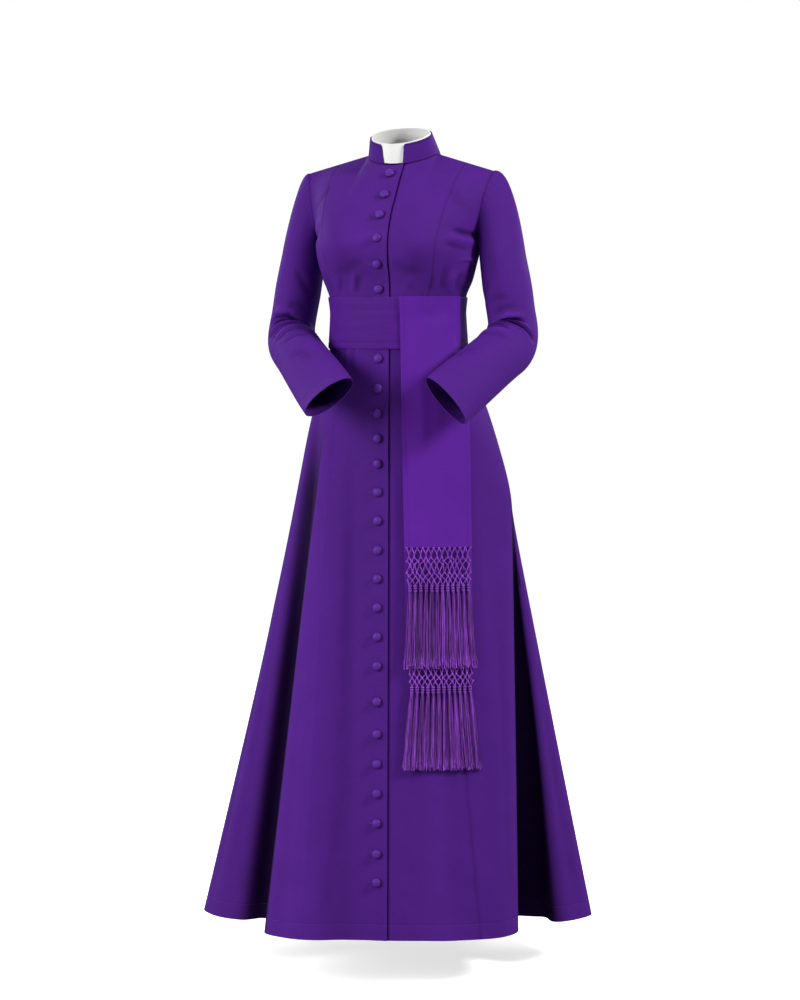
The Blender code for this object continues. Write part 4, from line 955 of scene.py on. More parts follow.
def cloth_piece(name, patches, outward, thickness, material):
    """One walled mesh from patches that meet where their points coincide, moved by their creases."""
    spots = np.concatenate([patch.grid.reshape(-1, 3) for patch in patches])
    keys = np.round(spots / WELD).astype(int)
    _, first, same = np.unique(keys, axis=0, return_index=True, return_inverse=True)
    order = np.argsort(first)
    ids = np.split(np.argsort(order)[same.reshape(-1)], np.cumsum([p.lift.size for p in patches])[:-1])
    kept = first[order]
    points = spots[kept]
    lifts = np.concatenate([patch.lift.reshape(-1) for patch in patches])[kept]
    tones = np.concatenate([patch.tone.reshape(-1) for patch in patches])[kept]
    faces, uvs = [], []
    for patch, numbers in zip(patches, ids):
        around = run_along(patch.grid, 1)
        middle = around[:, [around.shape[1] // 2]]
        chart = np.stack([around - middle, -run_along(patch.grid, 0)], axis=-1) * MM
        quads = corners_of(numbers.reshape(around.shape)).reshape(-1, 4)
        charts = corners_of(chart).reshape(-1, 4, 2)
        place = corners_of(patch.grid).reshape(-1, 4, 3)
        facing = np.cross(place[:, 2] - place[:, 0], place[:, 3] - place[:, 1])
        if np.einsum("ij,ij->i", facing, outward(place.mean(axis=1))).sum() < 0:
            quads, charts = quads[:, ::-1], charts[:, ::-1]
        whole = np.array([len(set(q)) == 4 for q in quads])
        faces.append(quads[whole])
        uvs.append(charts[whole])
    faces, uvs = np.concatenate(faces), np.concatenate(uvs)
    points = points + point_normals(points, faces) * lifts[:, None]
    mesh = bpy.data.meshes.new(name)
    mesh.from_pydata((points * MM).tolist(), [], faces.tolist())
    mesh.uv_layers.new(name="cloth").data.foreach_set("uv", uvs.reshape(-1))
    mesh.attributes.new(TONE, "FLOAT", "POINT").data.foreach_set("value", tones)
    obj = new_object(name, mesh)
    mesh.materials.append(material)
    wall = obj.modifiers.new("Wall", "SOLIDIFY")
    wall.thickness = thickness * MM
    wall.offset = -1.0
    wall.use_rim = True
    plain(obj)
    finish_mesh(obj, CLOTH_SHARP)
    return obj


def plain(obj):
    """The object's modifiers made part of its mesh."""
    graph = bpy.context.evaluated_depsgraph_get()
    mesh = bpy.data.meshes.new_from_object(obj.evaluated_get(graph))
    mesh.name = obj.name
    obj.modifiers.clear()
    obj.data = mesh


def finish_mesh(obj, sharp):
    obj.data.shade_smooth()
    obj.data.set_sharp_from_angle(angle=math.radians(sharp))


def new_object(name, mesh):
    obj = bpy.data.objects.new(name, mesh)
    bpy.context.scene.collection.objects.link(obj)
    return obj


def declare(obj, slot, *nodes):
    """The piece rides on the garment, takes its slot and stands for these nodes."""
    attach(obj, BODY)
    if nodes:
        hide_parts(*nodes)


def sheet_piece(name, patches, outward, thickness, material, slot, nodes):
    """A piece of cloth, declared with the flat size that its patches are cut from."""
    obj = cloth_piece(name, patches, outward, thickness, material)
    declare(obj, slot, *nodes)
    width, length, area = cut_of(patches)
    return obj


def gabardine_piece(name, patches, outward, cloth, nodes):
    sheet_piece(name, patches, outward, sizes().cloth_thickness / MM, cloth,
                "purple_gabardine", nodes)


# ---------------------------------------------------------------- node trees


def add_node(tree, kind, values=None, links=None, **settings):
    """A node with its settings, the values of its inputs, and the sockets that feed them."""
    node = tree.nodes.new(kind)
    for name, value in settings.items():
        setattr(node, name, value)
    return fill(tree, node, values, links)


def fill(tree, node, values=None, links=None):
    """Gives a node's inputs their values, and what feeds them: sockets, or nodes' first outputs."""
    for key, value in (values or {}).items():
        node.inputs[key].default_value = value
    for key, source in (links or {}).items():
        socket = source.outputs[0] if isinstance(source, bpy.types.Node) else source
        tree.links.new(socket, node.inputs[key])
    return node


def new_tree(name, inputs):
    """A Geometry Nodes tree with named inputs. Returns it with its group input node."""
    tree = bpy.data.node_groups.new(name, "GeometryNodeTree")
    tree.interface.new_socket("Geometry", in_out="OUTPUT", socket_type="NodeSocketGeometry")
    tree.interface.new_socket("Geometry", in_out="INPUT", socket_type="NodeSocketGeometry")
    for label, kind in inputs:
        tree.interface.new_socket(label, in_out="INPUT", socket_type="NodeSocket" + kind)
    return tree, tree.nodes.new("NodeGroupInput")


def end_tree(tree, given, last):
    """The last nodes of each tree: real geometry with its material."""
    real = add_node(tree, "GeometryNodeRealizeInstances", links={"Geometry": last})
    dressed = add_node(tree, "GeometryNodeSetMaterial",
                       links={"Geometry": real, "Material": given.outputs["Material"]})
    smooth = add_node(tree, "GeometryNodeSetShadeSmooth", links={"Geometry": dressed})
    add_node(tree, "NodeGroupOutput", links={"Geometry": smooth})
    return tree


def thread_tree():
    """A round thread along each line of the mesh."""
    tree, given = new_tree("thread_along_lines", [
        ("Radius", "Float"), ("Sides", "Int"), ("Material", "Material")])
    line = add_node(tree, "GeometryNodeMeshToCurve", links={"Mesh": given.outputs["Geometry"]})
    ring = add_node(tree, "GeometryNodeCurvePrimitiveCircle", mode="RADIUS",
                    links={"Resolution": given.outputs["Sides"], "Radius": given.outputs["Radius"]})
    tube = add_node(tree, "GeometryNodeCurveToMesh", values={"Fill Caps": True},
                    links={"Curve": line, "Profile Curve": ring})
    return end_tree(tree, given, tube)


def stitch_tree():
    """Short raised stitches, evenly spaced along each line of the mesh."""
    tree, given = new_tree("stitches_along_lines", [
        ("Pitch", "Float"), ("Length", "Float"), ("Radius", "Float"), ("Material", "Material")])
    line = add_node(tree, "GeometryNodeMeshToCurve", links={"Mesh": given.outputs["Geometry"]})
    places = add_node(tree, "GeometryNodeCurveToPoints", mode="LENGTH",
                      links={"Curve": line, "Length": given.outputs["Pitch"]})
    bead = add_node(tree, "GeometryNodeMeshUVSphere", values={"Segments": 5, "Rings": 4, "Radius": 1.0})
    half = add_node(tree, "ShaderNodeMath", operation="MULTIPLY", values={1: 0.5},
                    links={0: given.outputs["Length"]})
    size = add_node(tree, "ShaderNodeCombineXYZ", links={
        "X": given.outputs["Radius"], "Y": given.outputs["Radius"], "Z": half})
    copies = add_node(tree, "GeometryNodeInstanceOnPoints", links={
        "Points": places.outputs["Points"], "Instance": bead,
        "Rotation": places.outputs["Rotation"], "Scale": size})
    return end_tree(tree, given, copies)


def copies_tree():
    """A copy of an object on each point, standing along the point's outward direction."""
    tree, given = new_tree("copies_on_points", [
        ("Copy", "Object"), ("Scale", "Float"), ("Turn", "Float"), ("Seed", "Int"),
        ("Material", "Material")])
    shape = add_node(tree, "GeometryNodeObjectInfo", links={"Object": given.outputs["Copy"]})
    outward = add_node(tree, "GeometryNodeInputNamedAttribute", data_type="FLOAT_VECTOR",
                       values={"Name": "outward"})
    spin = add_node(tree, "FunctionNodeRandomValue", data_type="FLOAT",
                    links={"Seed": given.outputs["Seed"], 3: given.outputs["Turn"]})
    spun = add_node(tree, "ShaderNodeCombineXYZ", links={"Z": spin.outputs[1]})
    stand = add_node(tree, "FunctionNodeAlignRotationToVector", axis="Z",
                     links={"Vector": outward.outputs["Attribute"]})
    rotation = add_node(tree, "FunctionNodeRotateRotation", rotation_space="LOCAL", links={
        "Rotation": stand, "Rotate By": spun})
    copies = add_node(tree, "GeometryNodeInstanceOnPoints", links={
        "Points": given.outputs["Geometry"], "Instance": shape.outputs["Geometry"],
        "Rotation": rotation, "Scale": given.outputs["Scale"]})
    return end_tree(tree, given, copies)


def tree_for(make):
    """The tree of this kind, made once."""
    name = make.__doc__
    found = next((g for g in bpy.data.node_groups if g.get("kind") == name), None)
    if found is None:
        found = make()
        found["kind"] = name
    return found


def grown(name, carrier, make, values):
    """The plain mesh that a tree of this kind makes from the carrier, which is removed."""
    tree = tree_for(make)
    modifier = carrier.modifiers.new("Nodes", "NODES")
    modifier.node_group = tree
    sockets = {item.name: item.identifier for item in tree.interface.items_tree
               if item.item_type == "SOCKET" and item.in_out == "INPUT"}
    for label, value in values.items():
        modifier[sockets[label]] = value
    graph = bpy.context.evaluated_depsgraph_get()
    graph.update()
    mesh = bpy.data.meshes.new_from_object(carrier.evaluated_get(graph))
    bpy.data.objects.remove(carrier, do_unlink=True)
    if not mesh.polygons:
        raise RuntimeError(f"the tree {tree.name} made nothing for {name}")
    mesh.name = name
    mesh.materials.clear()
    mesh.materials.append(values["Material"])
    mesh.polygons.foreach_set("material_index", np.zeros(len(mesh.polygons), int))
    if TONE not in mesh.attributes:
        even = mesh.attributes.new(TONE, "FLOAT", "POINT")
        even.data.foreach_set("value", np.ones(len(mesh.vertices)))
    obj = new_object(name, mesh)
    finish_mesh(obj, GROWN_SHARP)
    return obj


def carrier_of(points, edges, outward=None):
    """A bare mesh of points and edges in millimetres, for a tree to build on."""
    mesh = bpy.data.meshes.new("carrier")
    mesh.from_pydata((np.asarray(points) * MM).tolist(), edges, [])
    if outward is not None:
        attribute = mesh.attributes.new("outward", "FLOAT_VECTOR", "POINT")
        attribute.data.foreach_set("vector", np.asarray(outward, float).reshape(-1))
    return new_object("carrier", mesh)


def lines_carrier(lines, tones=None):
    """A carrier with one chain of edges for each line, and each line's own tone."""
    points, edges = [], []
    for line in lines:
        first = len(points)
        points.extend(line)
        edges.extend((first + k, first + k + 1) for k in range(len(line) - 1))
    carrier = carrier_of(points, edges)
    if tones is not None:
        each = np.concatenate([np.broadcast_to(t, len(line)) for t, line in zip(tones, lines)])
        carrier.data.attributes.new(TONE, "FLOAT", "POINT").data.foreach_set("value", each)
    return carrier


# ---------------------------------------------------------------- materials


def linear(hex_colour):
    """An sRGB hex colour as linear red, green and blue."""
    parts = [int(hex_colour[i:i + 2], 16) / 255 for i in (1, 3, 5)]
    return tuple(c / 12.92 if c <= 0.04045 else ((c + 0.055) / 1.055) ** 2.4 for c in parts)


def shaded(colour, factor):
    return (*(c * factor for c in colour), 1.0)


Weave = namedtuple(
    "Weave", "chart ribs slant pitch bump grain mottle stretch fine", defaults=(1.0, 420.0))


def add_ramp(tree, socket, positions, colours):
    """A colour ramp from one colour to another."""
    ramp = add_node(tree, "ShaderNodeValToRGB", links={"Fac": socket})
    for stop, position, colour in zip(ramp.color_ramp.elements, positions, colours):
        stop.position, stop.color = position, colour
    return ramp


def add_product(tree, first, second):
    """The product of two colours."""
    return add_node(tree, "ShaderNodeMix", data_type="RGBA", blend_type="MULTIPLY",
                    values={0: 1.0}, links={6: first, 7: second})


def woven(name, colour, weave, roughness, sheen, sheen_roughness, specular):
    """A woven cloth: ribs of thread over a mottled colour.

    chart is the UV map that the ribs follow, or nothing for Object coordinates, and pitch the spacing
    of the ribs in millimetres. grain and mottle are how much the colour varies from thread to thread
    and over a hand's breadth. fine is the scale of the grain, and a stretch below 1 draws it out
    upright.
    """
    material = bpy.data.materials.new(name)
    material.use_nodes = True
    tree = material.node_tree
    shader = tree.nodes["Principled BSDF"]
    if weave.chart:
        place = add_node(tree, "ShaderNodeUVMap", uv_map=weave.chart).outputs["UV"]
    else:
        place = add_node(tree, "ShaderNodeTexCoord").outputs["Object"]
    spun = add_node(tree, "ShaderNodeMapping", links={"Vector": place},
                       values={"Rotation": (0, 0, math.radians(weave.slant))})
    # A wave's bands are 2 pi / 20 of a unit apart at scale 1
    ribs = add_node(tree, "ShaderNodeTexWave", wave_type="BANDS", bands_direction="X",
                    links={"Vector": spun},
                    values={"Scale": math.pi / 10 / (weave.pitch * MM), "Distortion": 0.6,
                            "Detail": 1.0, "Detail Scale": 2.0})
    broad = add_node(tree, "ShaderNodeTexNoise", links={"Vector": place},
                     values={"Scale": 14.0, "Detail": 4.0, "Roughness": 0.55})
    drawn = add_node(tree, "ShaderNodeMapping", links={"Vector": place},
                     values={"Scale": (1, 1, weave.stretch)})
    threads = add_node(tree, "ShaderNodeTexNoise", links={"Vector": drawn},
                       values={"Scale": weave.fine, "Detail": 2.0, "Roughness": 0.6})
    tint = add_ramp(tree, broad.outputs["Fac"], (0.32, 0.68),
                    (shaded(colour, 1 - weave.mottle), shaded(colour, 1 + weave.mottle)))
    dark = add_ramp(tree, threads.outputs["Fac"], (0.35, 0.65),
                    (shaded((1, 1, 1), 1 - weave.grain), shaded((1, 1, 1), 1)))
    deep = add_product(tree, tint, dark)
    raised = add_node(tree, "ShaderNodeMath", operation="MULTIPLY_ADD", values={1: weave.ribs},
                      links={0: ribs.outputs["Fac"], 2: threads.outputs["Fac"]})
    bump = add_node(tree, "ShaderNodeBump", links={"Height": raised},
                    values={"Strength": weave.bump, "Distance": 0.0004})
    worn = add_node(tree, "ShaderNodeMapRange", links={"Value": broad.outputs["Fac"]}, values={
        "From Min": 0.3, "From Max": 0.7, "To Min": roughness - 0.04, "To Max": roughness + 0.05})
    # The tone attribute darkens and lightens the colour: painted shade and painted light, and the
    # threads' random tones
    tone = add_node(tree, "ShaderNodeAttribute", attribute_name=TONE)
    dyed = add_product(tree, deep.outputs[2], tone.outputs["Fac"])
    fill(tree, shader, {
        "Specular IOR Level": specular, "Sheen Weight": sheen, "Sheen Roughness": sheen_roughness,
        "Sheen Tint": (*colour_of_sheen(colour), 1.0)}, {
        "Base Color": dyed.outputs[2], "Roughness": worn, "Normal": bump})
    return material


def colour_of_sheen(colour):
    """A paler tone of the same dye, which the fibre ends give at a glancing angle."""
    return tuple(min(1.0, 0.06 + 1.9 * c) for c in colour)


# painted shade that darkens the band's faille against the hanging ends
BAND_PAINTED_SHADE = 0.72


def materials():
    """The garment's materials, made once, by name."""
    colours = bpy.context.scene.cassock_colours
    found = {m.get("cassock"): m for m in bpy.data.materials if m.get("cassock")}
    if found:
        return found
    made = {
        # Polyester and wool gabardine, a tight steep twill, piece dyed: fine slanting ribs and a soft
        # low sheen. Its ribs are 0.5 mm apart, and are drawn three times as coarse so that they show.
        "gabardine": woven("gabardine_twill", colours.gabardine,
                           Weave("cloth", 0.6, 63, 1.5, 0.20, 0.16, 0.05), 0.72, 0.03, 0.42, 0.06),
        # The same gabardine stretched over the button moulds, where it has no chart of its own.
        "button": woven("gabardine_covered_button", colours.gabardine,
                        Weave("", 0.5, 63, 1.5, 0.18, 0.12, 0.03), 0.5, 0.02, 0.4, 0.16),
        # Lighter plain-woven faille for the sash: smooth, with faint level ribs 0.8 mm apart, drawn
        # at 2 mm so that they show, and a little more sheen than the gabardine.
        "sash": woven("faille_sash_cloth", colours.sash,
                      Weave("cloth", 0.5, 90, 2.0, 0.16, 0.10, 0.05), 0.66, 0.03, 0.38, 0.08),
        # The band is the same faille, with painted shade that makes it a shade darker than the hanging
        # ends.
        "band": woven("faille_sash_band", shaded(colours.sash, BAND_PAINTED_SHADE)[:3],
                      Weave("cloth", 0.5, 90, 2.0, 0.16, 0.10, 0.06), 0.66, 0.03, 0.4, 0.08),
        # Twisted rayon fringe thread: brighter than the cloth, with a silky glint along each strand.
        "thread": woven("twisted_rayon_thread", colours.thread,
                        Weave("", 0.9, 35, 0.9, 0.30, 0.66, 0.14, 0.035, 900.0), 0.48, 0.05, 0.35, 0.26),
        # Polyester sewing thread in the cloth's colour: a shade lighter where it catches the light.
        "sewing": woven("polyester_sewing_thread", colours.sewing,
                        Weave("", 0.6, 20, 0.6, 0.2, 0.1, 0.03), 0.5, 0.1, 0.35, 0.3),
        # Washable collar insert of smooth moulded polypropylene: white, stiff and faintly glossy.
        "insert": woven("white_moulded_insert", colours.insert,
                        Weave("", 0.2, 0, 3.0, 0.04, 0.01, 0.01), 0.42, 0.0, 0.3, 0.5),
    }
    for key, material in made.items():
        material["cassock"] = key
    return made


# ---------------------------------------------------------------- pieces


def from_middle(points):
    """Directions that point away from the garment's axis and up from the chest."""
    away = points - np.array(CHEST_MIDDLE)
    away[..., 2] = np.maximum(away[..., 2], 0)
    return away


def level_from(centre_y):
    """A function that gives the level directions away from an upright axis."""
    def outward(points):
        return (points - np.array([0.0, centre_y, 0.0])) * np.array([1.0, 1.0, 0.0])

    return outward


from_skirt_axis = level_from(SKIRT_MIDDLE_Y)


def bodice_creases(grid):
    """The height of the hand-laid creases over each point of the bodice."""
    x, y, z = grid[..., 0], grid[..., 1], grid[..., 2]
    total = np.zeros(x.shape)
    for side, creases in BODICE_CREASES.items():
        facing = smooth_step(0.5 + side * (y + 10) / 20)
        total += sum(facing * stroke(x, z, *crease) for crease in creases)
    return total * BODICE_CREASE_DEPTH


def under_offset(grid, outward, ease):
    """The grid drawn in by UNDERLAP where ease is 1, along the cloth's own normal."""
    rows, columns = grid.shape[:2]
    points = grid.reshape(-1, 3)
    ids = np.arange(rows * columns).reshape(rows, columns)
    quads = corners_of(ids).reshape(-1, 4)
    normals = point_normals(points, quads)
    if np.einsum("ij,ij->", normals, outward(points)) < 0:
        normals = -normals
    return grid - normals.reshape(grid.shape) * (UNDERLAP * ease)[None, :, None]


def bodice_patch(grid, lifts, tones):
    """A part of the bodice with its creases, its other lifts and its tones."""
    creases = bodice_creases(grid)
    # Painted shade in the creases' hollows and painted light on their ridges, on top of the painted seam
    # shade
    tone = np.prod(tones, axis=0) * painted_fold_shading(creases, BODICE_PAINTED_HOLLOW_SHADE, BODICE_PAINTED_HOLLOW_SHADE_MOST)
    return Patch(grid, sum(lifts, creases), tone)


def build_bodice(cloth):
    """The bodice's panels, sewn at the princess seams and the sides into one cloth."""
    rows = [half_row(where) for where in BODICE_WHERES]
    front, side_front, side_back, back = (np.array([row[k] for row in rows]) for k in range(4))
    lap = LAP_COLUMNS - 1
    right = np.concatenate(
        [front[:, lap:0:-1], mirrored(front), mirrored(side_front)[:, 1:]], axis=1)
    behind = np.concatenate(
        [side_back, back[:, 1:], mirrored(back)[:, -2::-1], mirrored(side_back)[:, -2::-1]], axis=1)
    left = np.concatenate([mirrored(front)[:, lap:0:-1], front, side_front[:, 1:]], axis=1)
    columns = np.arange(left.shape[1])
    ease = np.clip((2 * lap + 8 - columns) / 8, 0, 1)
    left = under_offset(left, from_middle, smooth_step(ease))
    princess = lap + front.shape[1] - 1
    side = side_back.shape[1] - 1
    seams = [0, side, behind.shape[1] - 1 - side, behind.shape[1] - 1]
    far = right.shape[1] - 1
    # Painted shade along the seams, and a painted shadow on the under front beside the lap's edge
    patches = [
        bodice_patch(right, [groove(right, [princess, far]), edge_lift(right, 0, 1.2, 4.0)],
                     [seam_painted_shade(right, [princess], 0.16), seam_painted_shade(right, [far])]),
        bodice_patch(behind, [groove(behind, seams)], [seam_painted_shade(behind, seams, 0.2)]),
        bodice_patch(left, [groove(left, [princess, far]), groove(left, [2 * lap], UNDER_DIP, 2.4)],
                     [seam_painted_shade(left, [princess], 0.22), seam_painted_shade(left, [far]),
                      seam_painted_shade(left, [2 * lap], 0.55, 1.7)]),
    ]
    gabardine_piece("bodice", patches, from_middle, cloth,
                    ["bodice_" + part for part in PANELS])


def skirt_patch():
    """The skirt as one strip from the under front round the back to the over front, with its lifts."""
    first = int(np.searchsorted(FOLD_VALUES, FOLD_NAMES.index("lap_right")))
    count = SKIRT.shape[1]
    order = [*range(first, count), *range(count), 0]
    grid = SKIRT[:, order]
    drapes = drape_heights(SKIRT, FOLD_VALUES, SKIRT_HEIGHTS)[:, order]
    under = count - first
    to_princess = int(np.searchsorted(FOLD_VALUES, FOLD_NAMES.index("princess_left")))
    columns = np.arange(len(order))
    ease = smooth_step(np.clip((under + to_princess - columns) / to_princess, 0, 1))
    grid = under_offset(grid, from_skirt_axis, ease)
    seams = [int(np.searchsorted(FOLD_VALUES, k)) + under for k, fold in enumerate(FOLDS) if fold.seam]
    # The princess seam on the wearer's right front is pressed flatter than the others
    clear, pressed = seams[:-1], seams[-1:]
    lift = drapes + groove(grid, clear, 0.7, 1.9) + groove(grid, pressed, 0.3, 1.9)
    lift += edge_lift(grid, len(order) - 1, 1.3, 5.0)
    lift += groove(grid, [under], UNDER_DIP, 3.0)
    lift -= HEM_DIP * bell(SKIRT_HEIGHTS - HEM_Z - HEM_DEPTH, 1.3)[:, None]
    # Painted shade along the seams, and a painted shadow on the under front beside the lap's edge
    tone = seam_painted_shade(grid, clear, 0.25, 1.8) * seam_painted_shade(grid, pressed, 0.06, 1.8)
    tone = tone * seam_painted_shade(grid, [under], 0.6, 2.0)
    # Painted shade in the drapes' hollows and painted light on their ridges
    tone = tone * painted_fold_shading(drapes, SKIRT_PAINTED_HOLLOW_SHADE, SKIRT_PAINTED_HOLLOW_SHADE_MOST)
    places = FOLD_VALUES[order]
    # Painted shade inside the pleats' recesses, growing in below each pleat's top
    for pleat in PAINTED_PLEAT_SHADES:
        inside = smooth_step((places - pleat.start) / pleat.soft_start) * smooth_step(
            (pleat.end - places) / pleat.soft_end)
        down = smooth_step((pleat.top - SKIRT_HEIGHTS) / PLEAT_SHADE_FADE)
        tone = tone * (1 - pleat.depth * down[:, None] * inside[None, :])
    return Patch(grid, lift, tone)


def build_skirt(cloth):
    """The skirt's panels as one cloth, open at the front under the lap."""
    gabardine_piece("skirt", [skirt_patch()], from_skirt_axis, cloth,
                    ["skirt_" + part for part in PANELS])


def build_sleeve(arm, cloth):
    """One sleeve, set into its armhole, with the creases of its bend."""
    grid, shares, degrees, total = sleeve_surface(arm)
    grid = np.concatenate([grid, grid[:, :1]], axis=1)
    turn = np.append(degrees, 360.0)
    reach = np.append(run_along(grid, 1)[:, -1], 0)[:-1].mean() / 360
    lift = np.zeros(grid.shape[:2])
    along = np.broadcast_to((shares * total)[:, None], lift.shape)
    for path, width, height in SLEEVE_CREASES[arm.side]:
        path = [(degrees_round, share * total) for share, degrees_round in path]
        lift += stroke_round(turn, along, reach, path, width, height)
    # Painted shade in the creases' hollows and painted light on their ridges
    creased = painted_fold_shading(lift, SLEEVE_PAINTED_HOLLOW_SHADE, SLEEVE_PAINTED_HOLLOW_SHADE_MOST)
    # The sleeve's head is eased into the armhole in small ripples that die away down the cap
    cap = bell(shares + EASE_BEFORE, EASE_REACH)[:, None]
    around = np.radians(turn)
    lift += EASE_HEIGHT * cap * np.sin(around * EASE_RIPPLES)[None, :] * (0.5 + 0.5 * np.cos(around))
    lift[:, [0, -1]] = (lift[:, [0]] + lift[:, [-1]]) / 2
    lift[0] -= HEAD_SINK
    quarter = len(degrees) // 4
    seams = [quarter, len(degrees) - quarter]
    lift += groove(grid, seams[:1], 0.12, 1.6) + groove(grid, seams[1:], 0.5, 1.6)
    # Painted shade along both seams, on top of the creases' painted shading
    tone = seam_painted_shade(grid, seams[:1], 0.05) * seam_painted_shade(grid, seams[1:], 0.25) * creased
    # Painted shade where the sleeve's head meets the bodice
    tone[0] = JOIN_PAINTED_SHADE
    lift -= CUFF_DIP * bell((1 - shares) * total - CUFF_HEM, 1.6)[:, None]
    middles = grid[:, :-1].mean(axis=1)

    def outward(points):
        nearest = np.argmin(((points[:, None] - middles[None]) ** 2).sum(axis=2), axis=1)
        return points - middles[nearest]

    gabardine_piece("sleeve_" + arm.side, [Patch(grid, lift, tone)], outward, cloth,
                    ["sleeve_top_" + arm.side, "sleeve_under_" + arm.side])


def collar_edges(degrees):
    """The points of the collar's base and top at an angle from the front by the wearer's left."""
    return neck_ring(NECK, degrees), neck_ring(COLLAR_TOP, degrees)


def build_collar(cloth, white):
    """The stand collar with its rounded front corners, and the white insert inside it."""
    height = COLLAR_TOP["mean_z"] - NECK["mean_z"]
    rows = []
    for rise in np.linspace(0, 1, COLLAR_ROWS):
        gap = mix(COLLAR_GAP_BASE, COLLAR_GAP_TOP, rise)
        row = []
        for share in np.linspace(0, 1, COLLAR_COLUMNS):
            along = min(share, 1 - share) * (360 - 2 * gap) * math.radians(1) * COLLAR_TOP["half_width"]
            inside = max(0.0, COLLAR_CORNER - along)
            cut = COLLAR_CORNER - math.sqrt(COLLAR_CORNER**2 - inside**2)
            base, top = collar_edges(gap + (360 - 2 * gap) * share)
            row.append(base + (top - base) * rise * (1 - cut / height))
        rows.append(row)
    grid = np.array(rows) + np.array([0, 0, COLLAR_RAISE])
    run = run_along(grid, 0)
    top_line = bell(run[-1:] - run - COLLAR_STITCH_DROP, 1.0)
    lift = -COLLAR_STITCH_DIP * top_line
    # Painted shade along the sunk stitch line
    tone = 1 - COLLAR_STITCH_PAINTED_SHADE * top_line
    # Painted shade where the collar meets the bodice
    tone[0] = JOIN_PAINTED_SHADE

    outward = level_from(COLLAR_MIDDLE_Y)
    sheet_piece("collar_stand", [Patch(grid, lift, tone)], outward, COLLAR_CLOTH, cloth,
                "purple_gabardine", ["collar"])

    base, top = np.moveaxis([collar_edges(a % 360) for a in np.linspace(0, 360, INSERT_COLUMNS)], 1, 0)
    grid = np.array([mix(base, top, rise) + unit(top - base) * INSERT_RISE * (rise == 1.0)
                     for rise in INSERT_RISES]) + np.array([0, 0, COLLAR_RAISE])
    away = grid - grid[:, :-1].mean(axis=1, keepdims=True)
    away[..., 2] = 0
    grid = grid - unit(away) * (COLLAR_CLOTH + INSERT_INSIDE)
    flat = np.zeros(grid.shape[:2])
    insert = cloth_piece("collar_white", [Patch(grid, flat, flat + 1)], outward, INSERT_WALL, white)
    declare(insert, "white_collar_insert", "collar_insert")


# Level creases of the band, in degrees round from the front by the left and in height
BAND_CREASES = [
    ([(-70, -276), (-20, -274), (40, -277), (80, -273)], 2.6, 0.7),
    ([(-64, -283), (-10, -286), (30, -283)], 2.2, -0.8),
    ([(-40, -296), (10, -293), (62, -298)], 2.8, 0.8),
    ([(-78, -304), (-30, -306), (16, -302)], 2.4, -0.8),
    ([(-20, -314), (30, -318), (74, -314)], 2.6, 0.7),
    ([(-72, -322), (-34, -325), (4, -323)], 2.4, -0.7),
    ([(-10, -332), (36, -330), (78, -334)], 2.6, -0.6),
    ([(110, -280), (160, -284), (230, -279)], 2.8, -0.8),
    ([(130, -300), (190, -297), (250, -303)], 2.8, 0.8),
    ([(100, -318), (170, -322), (240, -316)], 2.8, -0.8),
    ([(150, -338), (200, -335), (260, -339)], 2.6, 0.6),
]
BAND_ROWS = (-262, -285, -300, -356)
BAND_FOLD_Z = -343.0  # the line of stitches along the band's lower edge
BAND_THICKNESS = 1.5
BAND_CREASE_DEPTH = 0.45
BAND_LEVELS = 60
DEGREE_OF_WAIST = 1.98  # millimetres round the waist for each degree


def build_band(cloth):
    """The sash's band, drawn snug round the waist in faint level creases."""
    rings = np.array([body_ring(z) for z in BAND_ROWS])
    normals = np.array([flat_normals(ring) for ring in rings])
    outer = rings + normals * (BAND_LIFT + BAND_THICKNESS)
    heights = np.linspace(BAND_TOP, BAND_BOTTOM, BAND_LEVELS)
    wheres = np.interp(-heights, [-z for z in BAND_ROWS], range(len(BAND_ROWS)))
    grid = np.array([spline_at(outer, where) for where in wheres])
    grid[..., 2] = heights[:, None]
    grid = np.concatenate([grid, grid[:, :1]], axis=1)
    turn = np.linspace(0, 360, grid.shape[1])
    lift = np.zeros(grid.shape[:2])
    for path, width, height in BAND_CREASES:
        height *= BAND_CREASE_DEPTH
        lift += stroke_round(turn, grid[..., 2], DEGREE_OF_WAIST, path, width, height)
    # The stitched fold is sunk, with painted shade along it, and both edges of the band are rounded over
    lift -= 0.55 * bell(heights - BAND_FOLD_Z, 1.1)[:, None]
    edge = np.minimum(heights - BAND_BOTTOM, BAND_TOP - heights)
    lift -= 0.9 * bell(edge, 1.4)[:, None]
    # Painted shade along the stitched fold
    tone = 1 - 0.35 * bell(heights - BAND_FOLD_Z, 1.2)[:, None] * np.ones(len(turn))
    sheet_piece("sash_band_cloth", [Patch(grid, lift, tone)], level_from(BODICE[0].sf_y),
                BAND_THICKNESS, cloth, "purple_sash_cloth", ["sash_band"])


END_CLOTH = 1.3
# Soft lengthwise folds of each end: distance and height at its ends, width and rise
END_CREASES = {"upper": [
    ([(30, -300), (34, -420), (38, -560), (42, -700)], 11, 1.6),
    ([(78, -340), (82, -470), (80, -700)], 13, -1.7),
    ([(104, -300), (108, -450), (112, -640)], 9, 1.4),
    ([(12, -280), (58, -300), (110, -290)], 5, -0.8),
    ([(8, -500), (10, -620), (16, -704)], 8, -1.2),
], "lower": [
    ([(24, -720), (28, -800), (30, -890)], 12, 1.5),
    ([(70, -720), (74, -810), (78, -890)], 12, -1.4),
    ([(104, -720), (106, -800), (104, -890)], 9, 1.2),
]}
END_HEM = 7.5  # the turned edge's width
END_EDGE_RISE = 0.35
END_FOOT_RISE = 0.4
END_HEM_DIP = 0.25
# painted shade along the turned edge's stitch line
END_HEM_PAINTED_SHADE = 0.14
END_ROW = 7.0


